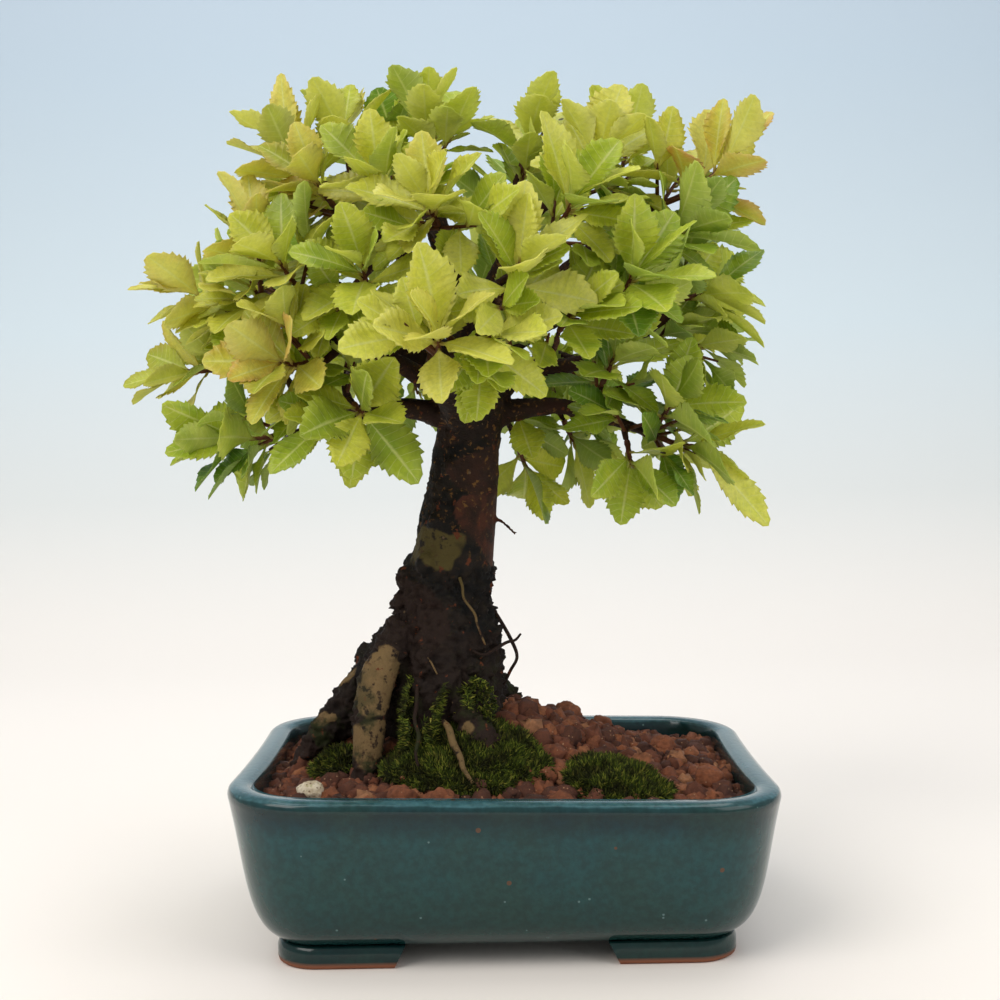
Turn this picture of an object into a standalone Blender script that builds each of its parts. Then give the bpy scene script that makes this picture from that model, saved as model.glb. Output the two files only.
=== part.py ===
# Bonsai tree in a glazed pot: one closed solid for each real piece, in metres, +Z up.
import math
import random

import bmesh
import bpy
from mathutils import Matrix, Vector
from mathutils.bvhtree import BVHTree

# ---- driving dimensions (metres) ----
POT_LENGTH = 0.1845       # rim, outside, along X
POT_DEPTH = 0.145         # rim, outside, along Y
POT_HEIGHT = 0.057        # foot to rim
RIM_CORNER = 0.031        # rim corner radius
RIM_WIDTH = 0.0085        # flat top of the rim
SIDE_PINCH = 0.0022       # how far the short sides bow in at their middle
RIM_TILT = 0.0225         # the rim was fired a little lower on the right
WALL = 0.0070             # side wall
FLOOR_THICK = 0.0060
FOOT_HEIGHT = 0.0070
FOOT_INSET = 0.0155       # foot band in from the rim
FOOT_BAND = 0.0100        # foot band width
FOOT_GAP_FRONT = 0.0320   # half the gap between the front feet
FOOT_GAP_SIDE = 0.0200    # half the gap between feet on a short side
DRAIN_DIAMETER = 0.0130
DRAIN_OFFSET = 0.0360     # drain hole centre from the middle
SCREEN_SIZE = 0.0240
SCREEN_THICK = 0.0012
WIRE_DIAMETER = 0.0015
SOIL_BELOW_RIM = 0.0070
MOUND_HEIGHT = 0.0270
MOUND_X = -0.0120         # top of the soil mound, under the trunk
TREE_RISE = 0.238         # canopy top above the rim
CANOPY_SPAN = 0.228       # canopy width along X
TREE_X = -0.0012          # the tree stands a little left of the layout's zero
TRUNK_GIRTH = 0.0256      # trunk thickness half way up the bare stem
LEAF_THICK = 0.0006
GAP = 0.0003              # clearance kept between pieces that touch
SEED = 27

MM = 0.001
FLOOR_TOP = FOOT_HEIGHT + FLOOR_THICK
GIRTH = TRUNK_GIRTH / 0.0256
SPREAD = CANOPY_SPAN / 0.228
RISE = TREE_RISE / 0.238
ROOM_X = POT_LENGTH / 0.1845
ROOM_Y = POT_DEPTH / 0.145

# ---- layout of the tree in mm: X right, Y back, Z up from the pot's underside at design size ----
TRUNK = ((-24, -6, 46, 17), (-23, -5, 62, 20), (-20, -4, 78, 21.5), (-19, -3, 95, 19.6),
         (-18.5, -2, 113, 16.4), (-15.4, -1, 130, 14.4), (-12.3, 0, 148, 12.8),
         (-10, 0, 166, 11.6), (-7, 0, 184, 10.5),
         (-7, 2, 200, 8.8), (-10, 5, 215, 7), (-15, 8, 232, 5.4), (-20, 8, 250, 3.8), (-21, 6, 262, 2.6))
ROOTS = (
    ((-28, -4, 104, 8), (-40, -6, 90, 9), (-52, -8, 77, 7.5),
     (-62, -8, 67, 5.8), (-69, -9, 57, 4), (-72, -10, 48, 2.6)),
    ((-33, -14, 106, 5), (-41, -22, 90, 6), (-44, -27, 76, 5.6), (-45, -30, 64, 5), (-47, -34, 50, 3.4)),
    ((-14, -15, 86, 7), (-9, -25, 73, 5.6), (-1, -33, 62, 4.2), (6, -40, 50, 3)),
    ((-8, -4, 78, 8), (1, -4, 68, 6.2), (12, -6, 58, 4.2), (26, -9, 48, 3)),
    ((-12, 8, 88, 8), (0, 21, 73, 6.2), (8, 31, 60, 4.2), (15, 38, 48, 3)),
    ((-27, 8, 90, 8), (-38, 20, 75, 6.6), (-48, 30, 61, 4.6), (-55, 36, 50, 3)),
)
STUBS = (
    ((-5, -4, 112, 1.3), (5, -6, 105, 1), (7, -7, 96, 0.9), (5, -7, 88, 1), (-2, -6, 82, 1.3)),
    ((-8, -2, 144, 1.8), (1, -3, 141, 1.5), (7, -5, 136, 1.3)),
    ((-8, -2, 158, 3.4), (1.2, -3, 157, 2.0)),
)
LIMBS = (
    ("front", 
     ((-9, -2, 176, 8), (-14, -20, 186, 6.4), (-17, -42, 193, 5), (-17, -60, 196, 3.6))),
    ("right_low", 
     ((-4, 0, 176, 5.1), (8, 6, 180, 3.9), (24, 8, 181, 3), (38, 4, 177, 2.3), (52, -2, 172, 1.7))),
    ("right_mid", 
     ((-4, 2, 182, 5.5), (10, 12, 193, 3.9), (32, 16, 197, 2.8), (50, 10, 205, 2.2), (63, 3, 212, 1.6))),
    ("right_high", 
     ((-4, 4, 188, 5.5), (10, 10, 212, 4.1), (30, 8, 232, 3), (48, 3, 245, 2), (57, 0, 250, 1.6))),
    ("left_low", 
     ((-12, -2, 176, 5.1), (-30, -10, 181, 3.7), (-48, -15, 179, 3), (-66, -14, 174, 2))),
    ("left_mid", 
     ((-8, 0, 188, 5.5), (-30, -2, 200, 3.9), (-54, -6, 208, 2.8), (-76, -9, 212, 1.9))),
    ("left_high", 
     ((-11, 5, 216, 4.2), (-32, 4, 236, 3.1), (-48, 2, 246, 2.2), (-58, 2, 251, 1.6))),
    ("top_right", ((-8, 3, 206, 4.7), (4, 8, 232, 3.3), (16, 6, 250, 2.3), (28, 2, 256, 1.6))),
    ("back", ((-7, 4, 190, 5.5), (-8, 28, 208, 3.9), (-8, 48, 221, 2.7), (-7, 60, 226, 1.6))),
    ("back_left", 
     ((-10, 5, 196, 4.7), (-32, 26, 212, 3.3), (-50, 42, 224, 2.2), (-60, 40, 230, 1.6))),
    ("back_right", 
     ((-5, 5, 196, 4.7), (16, 26, 210, 3.3), (36, 40, 220, 2.2), (48, 42, 224, 1.6))),
    ("front_up", 
     ((-9, 0, 205, 4.4), (-6, -20, 218, 3.3), (-2, -36, 220, 2.3), (2, -46, 216, 1.6))),
    ("left_front", 
     ((-12, -4, 182, 4.4), (-32, -22, 196, 3.1), (-50, -28, 202, 2.2), (-58, -30, 206, 1.6))),
    ("crown_front", 
     ((-12, 6, 222, 3.7), (-16, -12, 236, 2.8), (-18, -28, 240, 1.9), (-17, -36, 240, 1.6))),
)
# shoot: name, base, tip, leaves, leaf length
SHOOTS = (
    ("upper_left", (-61, 0, 254), (-71, -4, 272), 9, 23),
    ("top_left", (-50, 8, 262), (-52, 10, 284), 9, 24),
    ("top_left_back", (-38, 20, 268), (-36, 25, 286), 8, 27),
    ("crown", (-22, 4, 268), (-22, 2, 284), 9, 23),
    ("crown_right", (11, 8, 266), (15, 8, 282), 9, 24),
    ("high_right", (34, -6, 256), (38, -12, 268), 9, 25),
    ("high_right_back", (46, 10, 261), (50, 12, 276), 8, 22),
    ("sprig", (60, 0, 251), (86, -6, 267), 9, 25),
    ("right_upper", (57, -8, 236), (66, -13, 240), 8, 26),
    ("right_edge", (67, 2, 218), (78, 1, 221), 8, 24),
    ("right_edge_low", (66, 8, 202), (79, 9, 203), 8, 22),
    ("front_high", (4, -50, 214), (9, -58, 225), 9, 24),
    ("front_crown", (-17, -40, 240), (-20, -48, 246), 9, 24),
    ("front_crown_left", (-32, -24, 248), (-37, -31, 256), 9, 24),
    ("left_high_front", (-54, -12, 251), (-59, -20, 259), 8, 22),
    ("left_upright", (-79, -16, 219), (-79, -22, 241), 8, 24),
    ("left_edge", (-87, -9, 214), (-104, -11, 223), 9, 22),
    ("left_edge_low", (-95, 2, 197), (-110, 1, 196), 8, 22),
    ("left_low", (-73, -12, 173), (-92, -15, 172), 9, 25),
    ("left_front", (-61, -34, 196), (-69, -44, 196), 9, 24),
    ("front_low", (-46, -36, 182), (-42, -48, 179), 9, 25),
    ("left_inner", (-50, -20, 194), (-48, -24, 208), 8, 23),
    ("front", (-17, -63, 197), (-16, -72, 202), 9, 25),
    ("front_right", (-8, -56, 199), (0, -66, 202), 7, 24),
    ("hanging", (8, 22, 168), (12, 24, 158), 6, 24),
    ("right_inner_low", (26, 28, 176), (31, 30, 166), 8, 22),
    ("right_inner", (38, -6, 188), (42, -12, 198), 8, 26),
    ("right_low_up", (57, -8, 174), (62, -12, 182), 8, 27),
    ("right_low", (59, 0, 169), (72, -2, 166), 8, 25),
    ("right_low_front", (46, -12, 168), (47, -17, 160), 7, 22),
    ("mid_right_front", (22, -40, 205), (26, -50, 211), 9, 24),
    ("right_front", (42, -38, 216), (46, -48, 223), 9, 25),
    ("high_front_right", (23, -38, 240), (27, -47, 247), 9, 25),
    ("left_mid_front", (-64, -32, 221), (-69, -41, 229), 9, 24),
    ("mid_left_front", (-40, -40, 218), (-41, -50, 226), 9, 24),
    ("back_mid", (-6, 62, 227), (-5, 78, 236), 9, 25),
    ("back_left_out", (-62, 44, 231), (-74, 56, 238), 9, 24),
    ("back_right_out", (50, 46, 225), (62, 60, 232), 9, 24),
    ("back_crown", (8, 34, 256), (12, 46, 268), 9, 24),
    ("back_crown_left", (-40, 40, 252), (-46, 52, 264), 9, 24),
    ("back_low_right", (26, 58, 202), (34, 74, 200), 9, 24),
    ("back_low_left", (-42, 58, 200), (-52, 74, 200), 9, 24),
    ("back_left_edge", (-84, 22, 226), (-98, 30, 230), 8, 23),
    ("back_right_edge", (68, 28, 214), (80, 38, 216), 8, 23),
)
# chosen leaves: shoot, place along it, tip in mm, width, the way the upper face looks
FEATURES = (
    ("left_low", 0.75, (-113, -20, 168), 17, (-0.1, -0.8, 0.6)),
    ("right_low", 1.00, (97, -6, 138), 12, (0.2, -0.9, 0.4)),
    ("right_low_up", 0.60, (69, -14, 197), 15, (0.3, -0.9, 0.1)),
    ("hanging", 1.00, (19, 24, 139), 11, (0.3, -0.9, 0.3)),
    ("front_high", 0.80, (11, -62, 250), 14, (-0.1, -0.95, 0.3)),
    ("crown_right", 1.00, (24, 6, 297), 12, (0.2, -0.9, 0.2)),
    ("front_low", 0.70, (-46, -52, 158), 17, (0, -0.9, 0.4)),
    ("top_left_back", 0.90, (-41, 21, 299), 15, (-0.1, -0.9, 0.3)),
    ("sprig", 0.70, (81, -6, 287), 9, (-0.6, -0.7, 0.3)),
    ("sprig", 1.00, (94, -8, 281), 9, (-0.5, -0.8, 0.1)),
    ("left_edge", 1.00, (-126, -12, 225), 11, (-0.2, -0.5, 0.8)),
    ("left_edge_low", 1.00, (-132, 0, 192), 12, (-0.2, -0.6, 0.7)),
    ("upper_left", 0.90, (-73, -4, 299), 9, (-0.3, -0.9, 0.2)),
    ("right_edge_low", 0.95, (88, 6, 206), 13, (0.1, -0.7, 0.6)),
)


def clear_scene():
    for obj in list(bpy.data.objects):
        bpy.data.objects.remove(obj)


def collection(name):
    made = bpy.data.collections.new(name)
    bpy.context.scene.collection.children.link(made)
    return made


clear_scene()
PARTS = collection("bonsai_tree")
CUTTERS = collection("cutters")


def new_material(name, colour, rough=0.6):
    made = bpy.data.materials.new(name)
    made.use_nodes = True
    shader = made.node_tree.nodes["Principled BSDF"]
    shader.inputs["Base Color"].default_value = (*colour, 1)
    shader.inputs["Roughness"].default_value = rough
    return made


def solid(name, verts, faces, where=None):
    mesh = bpy.data.meshes.new(name)
    mesh.from_pydata([tuple(v) for v in verts], [], faces)
    bm = bmesh.new()
    bm.from_mesh(mesh)
    bmesh.ops.recalc_face_normals(bm, faces=bm.faces)
    if bm.calc_volume(signed=True) < 0:
        bmesh.ops.reverse_faces(bm, faces=bm.faces)
    bm.to_mesh(mesh)
    bm.free()
    obj = bpy.data.objects.new(name, mesh)
    (where or CUTTERS).objects.link(obj)
    if where is None:
        obj.hide_render = True
        obj.display_type = "WIRE"
    return obj


def combine(target, tools, operation, own=False):
    """Run exact booleans of every tool on the target and keep the plain result."""
    for tool in tools:
        mod = target.modifiers.new("combine", "BOOLEAN")
        mod.solver = "EXACT"
        mod.operation = operation
        mod.use_self = own
        mod.object = tool
    bpy.context.view_layer.update()
    graph = bpy.context.evaluated_depsgraph_get()
    mesh = bpy.data.meshes.new_from_object(target.evaluated_get(graph))
    target.modifiers.clear()
    target.data = mesh
    for tool in tools:
        bpy.data.objects.remove(tool)
    return target


def finish_part(obj, name, material):
    obj.name = name
    obj.data.name = name
    obj.hide_render = False
    obj.display_type = "TEXTURED"
    for home in list(obj.users_collection):
        home.objects.unlink(obj)
    PARTS.objects.link(obj)
    obj.data.materials.clear()
    obj.data.materials.append(material)
    return obj


# ---- shared shape helpers ----
def at(x, y, z):
    return Vector((TREE_X + x * MM * SPREAD, y * MM * SPREAD, POT_HEIGHT + (z * MM - 0.057) * RISE))


def root_at(x, y, z):
    return Vector((TREE_X + x * MM * ROOM_X, y * MM * ROOM_Y, POT_HEIGHT + z * MM - 0.057))


def smooth(points, steps):
    """Points of a Catmull-Rom curve through the given points."""
    ends = [points[0] * 2 - points[1]] + list(points) + [points[-1] * 2 - points[-2]]
    out = []
    for i in range(1, len(ends) - 2):
        a, b, c, d = ends[i - 1:i + 3]
        for k in range(steps):
            t = k / steps
            out.append(0.5 * (b * 2 + (c - a) * t + (a * 2 - b * 5 + c * 4 - d) * t * t
                              + (b * 3 - a - c * 3 + d) * t ** 3))
    return out + [points[-1]]


def tube_shape(points, radii, sides, grow=0.0):
    """Corners and faces of a closed tube whose rings keep a steady twist."""
    verts, faces = [], []
    side = Vector((0, 0, 1)).cross(points[1] - points[0])
    side = side.normalized() if side.length > 1e-6 else Vector((1, 0, 0))
    last = len(points) - 1
    for i, p in enumerate(points):
        along = (points[min(i + 1, last)] - points[max(i - 1, 0)]).normalized()
        side = (side - along * side.dot(along)).normalized()
        other = along.cross(side)
        for k in range(sides):
            turn = 2 * math.pi * k / sides
            verts.append(p + (side * math.cos(turn) + other * math.sin(turn)) * (radii[i] + grow))
    for i in range(last):
        for k in range(sides):
            a, b = i * sides + k, i * sides + (k + 1) % sides
            faces.append((a, b, b + sides, a + sides))
    faces.append(tuple(range(sides)))
    faces.append(tuple(last * sides + k for k in range(sides)))
    return verts, faces


def limb_path(spec, place=at, thick=None):
    points = [place(*p[:3]) for p in spec]
    return points, [p[3] * MM * (GIRTH if thick is None else thick) for p in spec]


def feeder_path(base, tip, limbs):
    """A side branch that leaves the nearest limb low down and ends at the shoot's base."""
    best = None
    for points, radii in limbs:
        for i in range(len(points) - 1):
            for k in range(6):
                t = k / 6
                p = points[i].lerp(points[i + 1], t)
                fall = p.z - base.z
                cost = (p - base).length + max(0.0, fall) * 1.5
                if best is None or cost < best[0]:
                    best = (cost, p, radii[i] * (1 - t) + radii[i + 1] * t)
    start, thick = best[1], best[2]
    along = (tip - base).normalized()
    reach = (base - start).length
    bend = base - along * reach * 0.4
    path = [start, bend, base]
    return path, [min(thick * 0.8, 0.0020), 0.0014, 0.0011]


LIMB_PATHS = {name: limb_path(spec) for name, spec in LIMBS}
TRUNK_PATH = limb_path(TRUNK)
SHOOT_PATHS = {}
FEEDERS = {}
for shoot, low, high, leaf_count, leaf_size in SHOOTS:
    base, tip = at(*low), at(*high)
    SHOOT_PATHS[shoot] = (base, tip)
    branches = list(LIMB_PATHS.values()) + [(TRUNK_PATH[0][8:], TRUNK_PATH[1][8:])]
    FEEDERS[shoot] = feeder_path(base, tip, branches)


# ---- leaves ----
def twig_points(shoot):
    base, tip = SHOOT_PATHS[shoot]
    along = (tip - base).normalized()
    start = base + along * (GAP + 0.00005)
    sag = Vector((0, 0, -0.06 * (tip - base).length))
    return [start, start.lerp(tip, 0.5) + sag, tip]


def point_on(points, t):
    spot = t * (len(points) - 1)
    i = min(int(spot), len(points) - 2)
    return points[i].lerp(points[i + 1], spot - i)


def leaf_solid(base, tip, width, face, fold, bend, start=-0.02):
    """A thin folded blade: a stalk end, the widest place, a point, and a sunk midrib."""
    along = tip - base
    length = along.length
    along.normalize()
    normal = (face - along * face.dot(along)).normalized()
    side = along.cross(normal)

    def spot(across, up_leaf, lift):
        drop = bend * length * up_leaf * up_leaf
        return base + along * (up_leaf * length) + side * across + normal * (lift - drop)

    half = width / 2
    rim = [spot(-0.0005, start, 0), spot(-half, 0.62, fold), spot(0, 1.0, 0), spot(half, 0.62, fold),
           spot(0.0005, start, 0)]
    top = rim + [spot(0, 0.60, 0)]
    under = [p - normal * LEAF_THICK for p in top]
    count = len(rim)
    faces = [(i, (i + 1) % count, count) for i in range(count)]
    faces += [((i + 1) % count + count + 1, i + count + 1, 2 * count + 1) for i in range(count)]
    for i in range(count):
        j = (i + 1) % count
        faces.append((j, i, i + count + 1, j + count + 1))
    return top + under, faces


def tree_of(verts, faces):
    return BVHTree.FromPolygons([tuple(v) for v in verts], faces)


def leaf_plan():
    """Every leaf as (shoot, base, tip, width, face, fold, bend), none crossing another piece."""
    woody = []
    for points, radii in [TRUNK_PATH] + list(LIMB_PATHS.values()):
        woody.append((None, tree_of(*tube_shape(points, radii, 8, 0.0004))))
    for shoot, (points, radii) in FEEDERS.items():
        woody.append((None, tree_of(*tube_shape(points, radii, 5, 0.0004))))
    twigs = []
    for shoot, *rest in SHOOTS:
        points = twig_points(shoot)
        twigs.append((shoot, tree_of(*tube_shape(points, [0.0009] * 3, 5, 0.0004))))
    plan = []
    placed = []
    outer = []

    def clear(leaf):
        shoot = leaf[0]
        tree = tree_of(*leaf_solid(*leaf[1:]))
        for owner, other in woody + twigs + placed:
            if owner != shoot and tree.overlap(other):
                return None
        free = tree_of(*leaf_solid(*leaf[1:], 0.30))
        if any(owner == shoot and free.overlap(other) for owner, other in outer):
            return None
        outer.append((shoot, free))
        return tree

    def keep(leaf):
        tree = clear(leaf)
        if tree:
            plan.append(leaf)
            placed.append((leaf[0], tree))
        return bool(tree)

    for shoot, t, end, width, face in FEATURES:
        tip = at(*end)
        for attempt in range(8):
            base = point_on(twig_points(shoot), max(0.3, t - 0.07 * attempt))
            shift = Vector((0, -0.001 * attempt, 0.0005 * attempt))
            if keep((shoot, base, tip + shift, width * MM, Vector(face), 0.0012, 0.06)):
                break
    heart = at(-10, 0, 205)
    lowest, highest = at(-134, -97, 139), at(99, 97, 300)
    for shoot, near, far, count, size in SHOOTS:
        chance = random.Random("%s %d" % (shoot, SEED))
        points = twig_points(shoot)
        axis = (points[2] - points[0]).normalized()
        ring = axis.orthogonal().normalized()
        out = (points[2] - heart).normalized()
        done = sum(1 for f in FEATURES if f[0] == shoot)
        turn = chance.uniform(0, 360)
        for i in range(count - done):
            share = (i + 0.5) / (count - done)
            for attempt in range(14):
                spin = math.radians(turn + 137.5 * i + attempt * 23)
                spread = math.radians(82 - 58 * share + chance.uniform(-9, 9))
                radial = Matrix.Rotation(spin, 3, axis) @ ring
                way = axis * math.cos(spread) + radial * math.sin(spread)
                way = (way + out * 0.18 + Vector((0, 0, 0.10 - 0.16 * (1 - share)))).normalized()
                long = size * MM * (0.80 + 0.36 * math.sin(math.pi * (0.15 + 0.75 * share)))
                long *= chance.uniform(0.86, 1.10) * (1 - 0.022 * attempt)
                face = axis * 0.7 + out * 0.35 + Vector((0, -0.12, 0.55))
                face += Vector([chance.uniform(-0.42, 0.42) for _ in range(3)])
                base = point_on(points, 0.30 + 0.70 * share)
                wide = long * chance.uniform(0.50, 0.60)
                fold = wide * chance.uniform(0.06, 0.16)
                tip = base + way * long
                leaf = (shoot, base, tip, wide, face, fold, chance.uniform(0.03, 0.14))
                inside = all(low < value < high for low, value, high in zip(lowest, tip, highest))
                if inside and keep(leaf):
                    break
    return plan


# ---- pot ----
CORNER_STEPS = 3


def outline(inset, corner=None):
    """Rounded rectangle in from the rim, anticlockwise, with the short sides bowed in."""
    hx, hy = POT_LENGTH / 2 - inset, POT_DEPTH / 2 - inset
    radius = max(0.004, (RIM_CORNER if corner is None else corner) - inset)
    points = []
    for qx, qy, start in ((1, 1, 0), (-1, 1, 90), (-1, -1, 180), (1, -1, 270)):
        for k in range(CORNER_STEPS + 1):
            angle = math.radians(start + 90 * k / CORNER_STEPS)
            points.append((qx * (hx - radius) + radius * math.cos(angle),
                           qy * (hy - radius) + radius * math.sin(angle)))
        if qx == qy:
            end = (-qx * (hx - radius), qy * hy)
        else:
            end = (qx * hx, -qy * (hy - radius))
        first = points[-1]
        for k in (1, 2, 3):
            points.append((first[0] + (end[0] - first[0]) * k / 4, first[1] + (end[1] - first[1]) * k / 4))
    bowed = []
    for x, y in points:
        pull = SIDE_PINCH * max(0.0, 1 - (y / hy) ** 2) * abs(x) / hx
        bowed.append((x - math.copysign(pull, x), y))
    return bowed


def tilt(x, z):
    if z <= FOOT_HEIGHT:
        return z
    return z - RIM_TILT * x * (z - FOOT_HEIGHT) / (POT_HEIGHT - FOOT_HEIGHT)


def loft(levels):
    """Closed solid through rounded rectangles given as (inset, z), capped at both ends."""
    verts, faces = [], []
    count = len(outline(0))
    for inset, z in levels:
        verts += [Vector((x, y, tilt(x, z))) for x, y in outline(inset)]
    for i in range(len(levels) - 1):
        for k in range(count):
            a, b = i * count + k, i * count + (k + 1) % count
            faces.append((a, b, b + count, a + count))
    faces.append(tuple(range(count)))
    faces.append(tuple((len(levels) - 1) * count + k for k in range(count)))
    return verts, faces


def inner_inset(z):
    """How far the inner wall is in from the rim at a height."""
    share = (POT_HEIGHT - z) / (POT_HEIGHT - FLOOR_TOP)
    return RIM_WIDTH + 0.0005 + share * WALL


def block(name, corners_low, corners_high):
    low, high = Vector(corners_low), Vector(corners_high)
    bm = bmesh.new()
    bmesh.ops.create_cube(bm, size=1)
    mesh = bpy.data.meshes.new(name)
    for v in bm.verts:
        v.co = Vector([a + (c + 0.5) * (b - a) for a, b, c in zip(low, high, v.co)])
    bm.to_mesh(mesh)
    bm.free()
    obj = bpy.data.objects.new(name, mesh)
    CUTTERS.objects.link(obj)
    obj.hide_render = True
    obj.display_type = "WIRE"
    return obj


def wedge(name, half, over, height, reach, across):
    """A bar whose ends slope: half wide at the top, half + over wide at the bottom."""
    shape = ((-half - over, -0.001), (half + over, -0.001), (half, height), (-half, height))
    verts = []
    for side in (-reach, reach):
        verts += [Vector((side, a, z)) if across else Vector((a, side, z)) for a, z in shape]
    around = [(i, (i + 1) % 4, (i + 1) % 4 + 4, i + 4) for i in range(4)]
    return solid(name, verts, [(0, 1, 2, 3), (4, 5, 6, 7)] + around)


def round_bar(name, x, y, low, high, radius, sides=16):
    points = [Vector((x, y, low)), Vector((x, y, high))]
    return solid(name, *tube_shape(points, [radius, radius], sides))


def make_pot():
    h, f = POT_HEIGHT, FOOT_HEIGHT
    wall = h - f
    levels = [(0.0230, f), (0.0185, f), (0.0145, f + 0.0022), (0.0108, f + 0.0055), (0.0078, f + 0.0110),
              (0.0052, f + wall * 0.40), (0.0022, f + wall * 0.72), (0.0006, h - 0.0060), (0.0, h - 0.0030),
              (0.0005, h - 0.0010), (0.0020, h), (RIM_WIDTH - 0.0015, h), (RIM_WIDTH, h - 0.0008),
              (inner_inset(h - 0.004), h - 0.0040), (inner_inset(FLOOR_TOP + 0.005), FLOOR_TOP + 0.0050),
              (inner_inset(FLOOR_TOP) + 0.004, FLOOR_TOP)]
    pot = solid("pot", *loft(levels))
    band = solid("band", *loft([(FOOT_INSET, 0.0), (FOOT_INSET + 0.0004, f + 0.0004)]))
    inside = FOOT_INSET + FOOT_BAND
    hollow = solid("hollow", *loft([(inside, -0.001), (inside + 0.001, f + 0.001)]))
    front = wedge("front_gap", FOOT_GAP_FRONT, 0.005, f + 0.002, POT_DEPTH, False)
    side = wedge("side_gap", FOOT_GAP_SIDE, 0.005, f + 0.002, POT_LENGTH, True)
    combine(band, [hollow, front, side], "DIFFERENCE")
    combine(pot, [band], "UNION")
    high = FLOOR_TOP + 0.004
    holes = [round_bar("drain", s * DRAIN_OFFSET, 0, 0.0, high, DRAIN_DIAMETER / 2) for s in (-1, 1)]
    combine(pot, holes, "DIFFERENCE")
    return finish_part(pot, "pot", new_material("teal_glazed_clay", (0.05, 0.13, 0.14), 0.2))


def make_screen(name, x):
    z = tilt(x, FLOOR_TOP) + GAP
    lean = RIM_TILT * SCREEN_SIZE / 2 * FLOOR_THICK / (POT_HEIGHT - FOOT_HEIGHT)
    z += lean
    half = SCREEN_SIZE / 2
    plate = block(name, (x - half, -half, z), (x + half, half, z + SCREEN_THICK))
    cuts = []
    for i in (-1, 0, 1):
        for j in (-1, 0, 1):
            wide = 0.0014
            cx, cy = x + i * 0.0044, j * 0.0044
            cuts.append(block("mesh", (cx - wide, cy - wide, z - 0.001), (cx + wide, cy + wide, z + 0.003)))
    combine(plate, cuts, "DIFFERENCE")
    return finish_part(plate, name, new_material(name + "_plastic", (0.03, 0.03, 0.03), 0.5))


def wire_shape(grow=0.0):
    low = FOOT_HEIGHT - WIRE_DIAMETER / 2 - GAP
    top = FLOOR_TOP + 0.014
    half = ((0.012, 0.002, top + 0.004), (0.004, 0.001, top), (0, 0, top - 0.005),
            (0, 0, low + 0.004), (0.002, 0, low))
    points = [Vector((-DRAIN_OFFSET + x, y, z)) for x, y, z in half]
    points += [Vector((DRAIN_OFFSET - x, y, z)) for x, y, z in reversed(half)]
    return tube_shape(points, [WIRE_DIAMETER / 2] * len(points), 6, grow)


# ---- soil, moss and gravel ----
def soil_height(x, y):
    """Top of the soil: a mound that is steepest in front of the trunk."""
    dx, dy = x - MOUND_X * ROOM_X, y
    side = dx / ((0.030 if dx < 0 else 0.040) * ROOM_X)
    depth = dy / ((0.026 if dy < 0 else 0.036) * ROOM_Y)
    ripple = 0.0006 * math.sin(x * 410 + 1) * math.cos(y * 370)
    mound = MOUND_HEIGHT * math.exp(-(side * side + depth * depth) / 2)
    return tilt(x, POT_HEIGHT - SOIL_BELOW_RIM) + mound + ripple


def make_soil():
    floor = FLOOR_TOP + GAP
    top = POT_HEIGHT - SOIL_BELOW_RIM
    verts, faces = [], []
    base = outline(inner_inset(FLOOR_TOP) + 0.004 + 2 * GAP)
    count = len(base)
    verts += [Vector((x, y, tilt(x, floor))) for x, y in base]
    low = outline(inner_inset(FLOOR_TOP + 0.005) + 2 * GAP)
    verts += [Vector((x, y, tilt(x, FLOOR_TOP + 0.0055))) for x, y in low]
    edge = outline(inner_inset(top) + 2 * GAP)
    rings = 5
    for ring in range(rings):
        share = 1 - ring / rings
        for x, y in edge:
            px, py = MOUND_X * (1 - share) + x * share, y * share
            verts.append(Vector((px, py, soil_height(px, py))))
    verts.append(Vector((MOUND_X, 0, soil_height(MOUND_X, 0))))
    levels = 2 + rings
    for i in range(levels - 1):
        for k in range(count):
            a, b = i * count + k, i * count + (k + 1) % count
            faces.append((a, b, b + count, a + count))
    for k in range(count):
        faces.append(((levels - 1) * count + k, (levels - 1) * count + (k + 1) % count, levels * count))
    faces.append(tuple(range(count)))
    return solid("soil", verts, faces)


def stone_shape(x, y, sizes, seed, detail=1, grow=0.0, sink=0.35, draped=False):
    """A rough lump sunk in the soil; a draped one follows the slope of the mound."""
    chance = random.Random(seed)
    bm = bmesh.new()
    bmesh.ops.create_icosphere(bm, subdivisions=detail, radius=1.0)
    spin = Matrix.Rotation(0 if draped else chance.uniform(0, 3), 3, "Z")
    half = Vector(sizes)
    lift = sizes[2] * (1 - 2 * sink)
    verts = []
    for v in bm.verts:
        rough = 1 + chance.uniform(-0.14, 0.14)
        p = spin @ Vector([c * (h * rough + grow) for c, h in zip(v.co, half)])
        px, py = (x + p.x, y + p.y) if draped else (x, y)
        verts.append(Vector((x + p.x, y + p.y, soil_height(px, py) + lift + p.z)))
    faces = [tuple(v.index for v in f.verts) for f in bm.faces]
    bm.free()
    return verts, faces


# piece: name, x and y in mm in the design pot, half sizes
GRAVEL = (
    ("grain_front_left", -33, -53.5, (0.0048, 0.0044, 0.0046)),
    ("grain_front_mid", -20.5, -56.0, (0.0048, 0.0042, 0.0044)),
    ("grain_right", 70, -26, (0.0050, 0.0042, 0.0044)),
    ("grain_back_near", 24, 26, (0.0052, 0.0048, 0.0050)),
    ("grain_back_far", 37, 30, (0.0044, 0.0048, 0.0044)),
    ("grain_right_back", 58, 10, (0.0048, 0.0042, 0.0044)),
)
PUMICE = ("pumice", -64, -42, (0.0046, 0.0038, 0.0040))
MOSS = (
    ("moss_front", -13, -33.5, (0.0270, 0.0165, 0.0052)),
    ("moss_right", 38, -39, (0.0175, 0.0140, 0.0050)),
    ("moss_left", -57, -21, (0.0090, 0.0065, 0.0050)),
)


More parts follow.
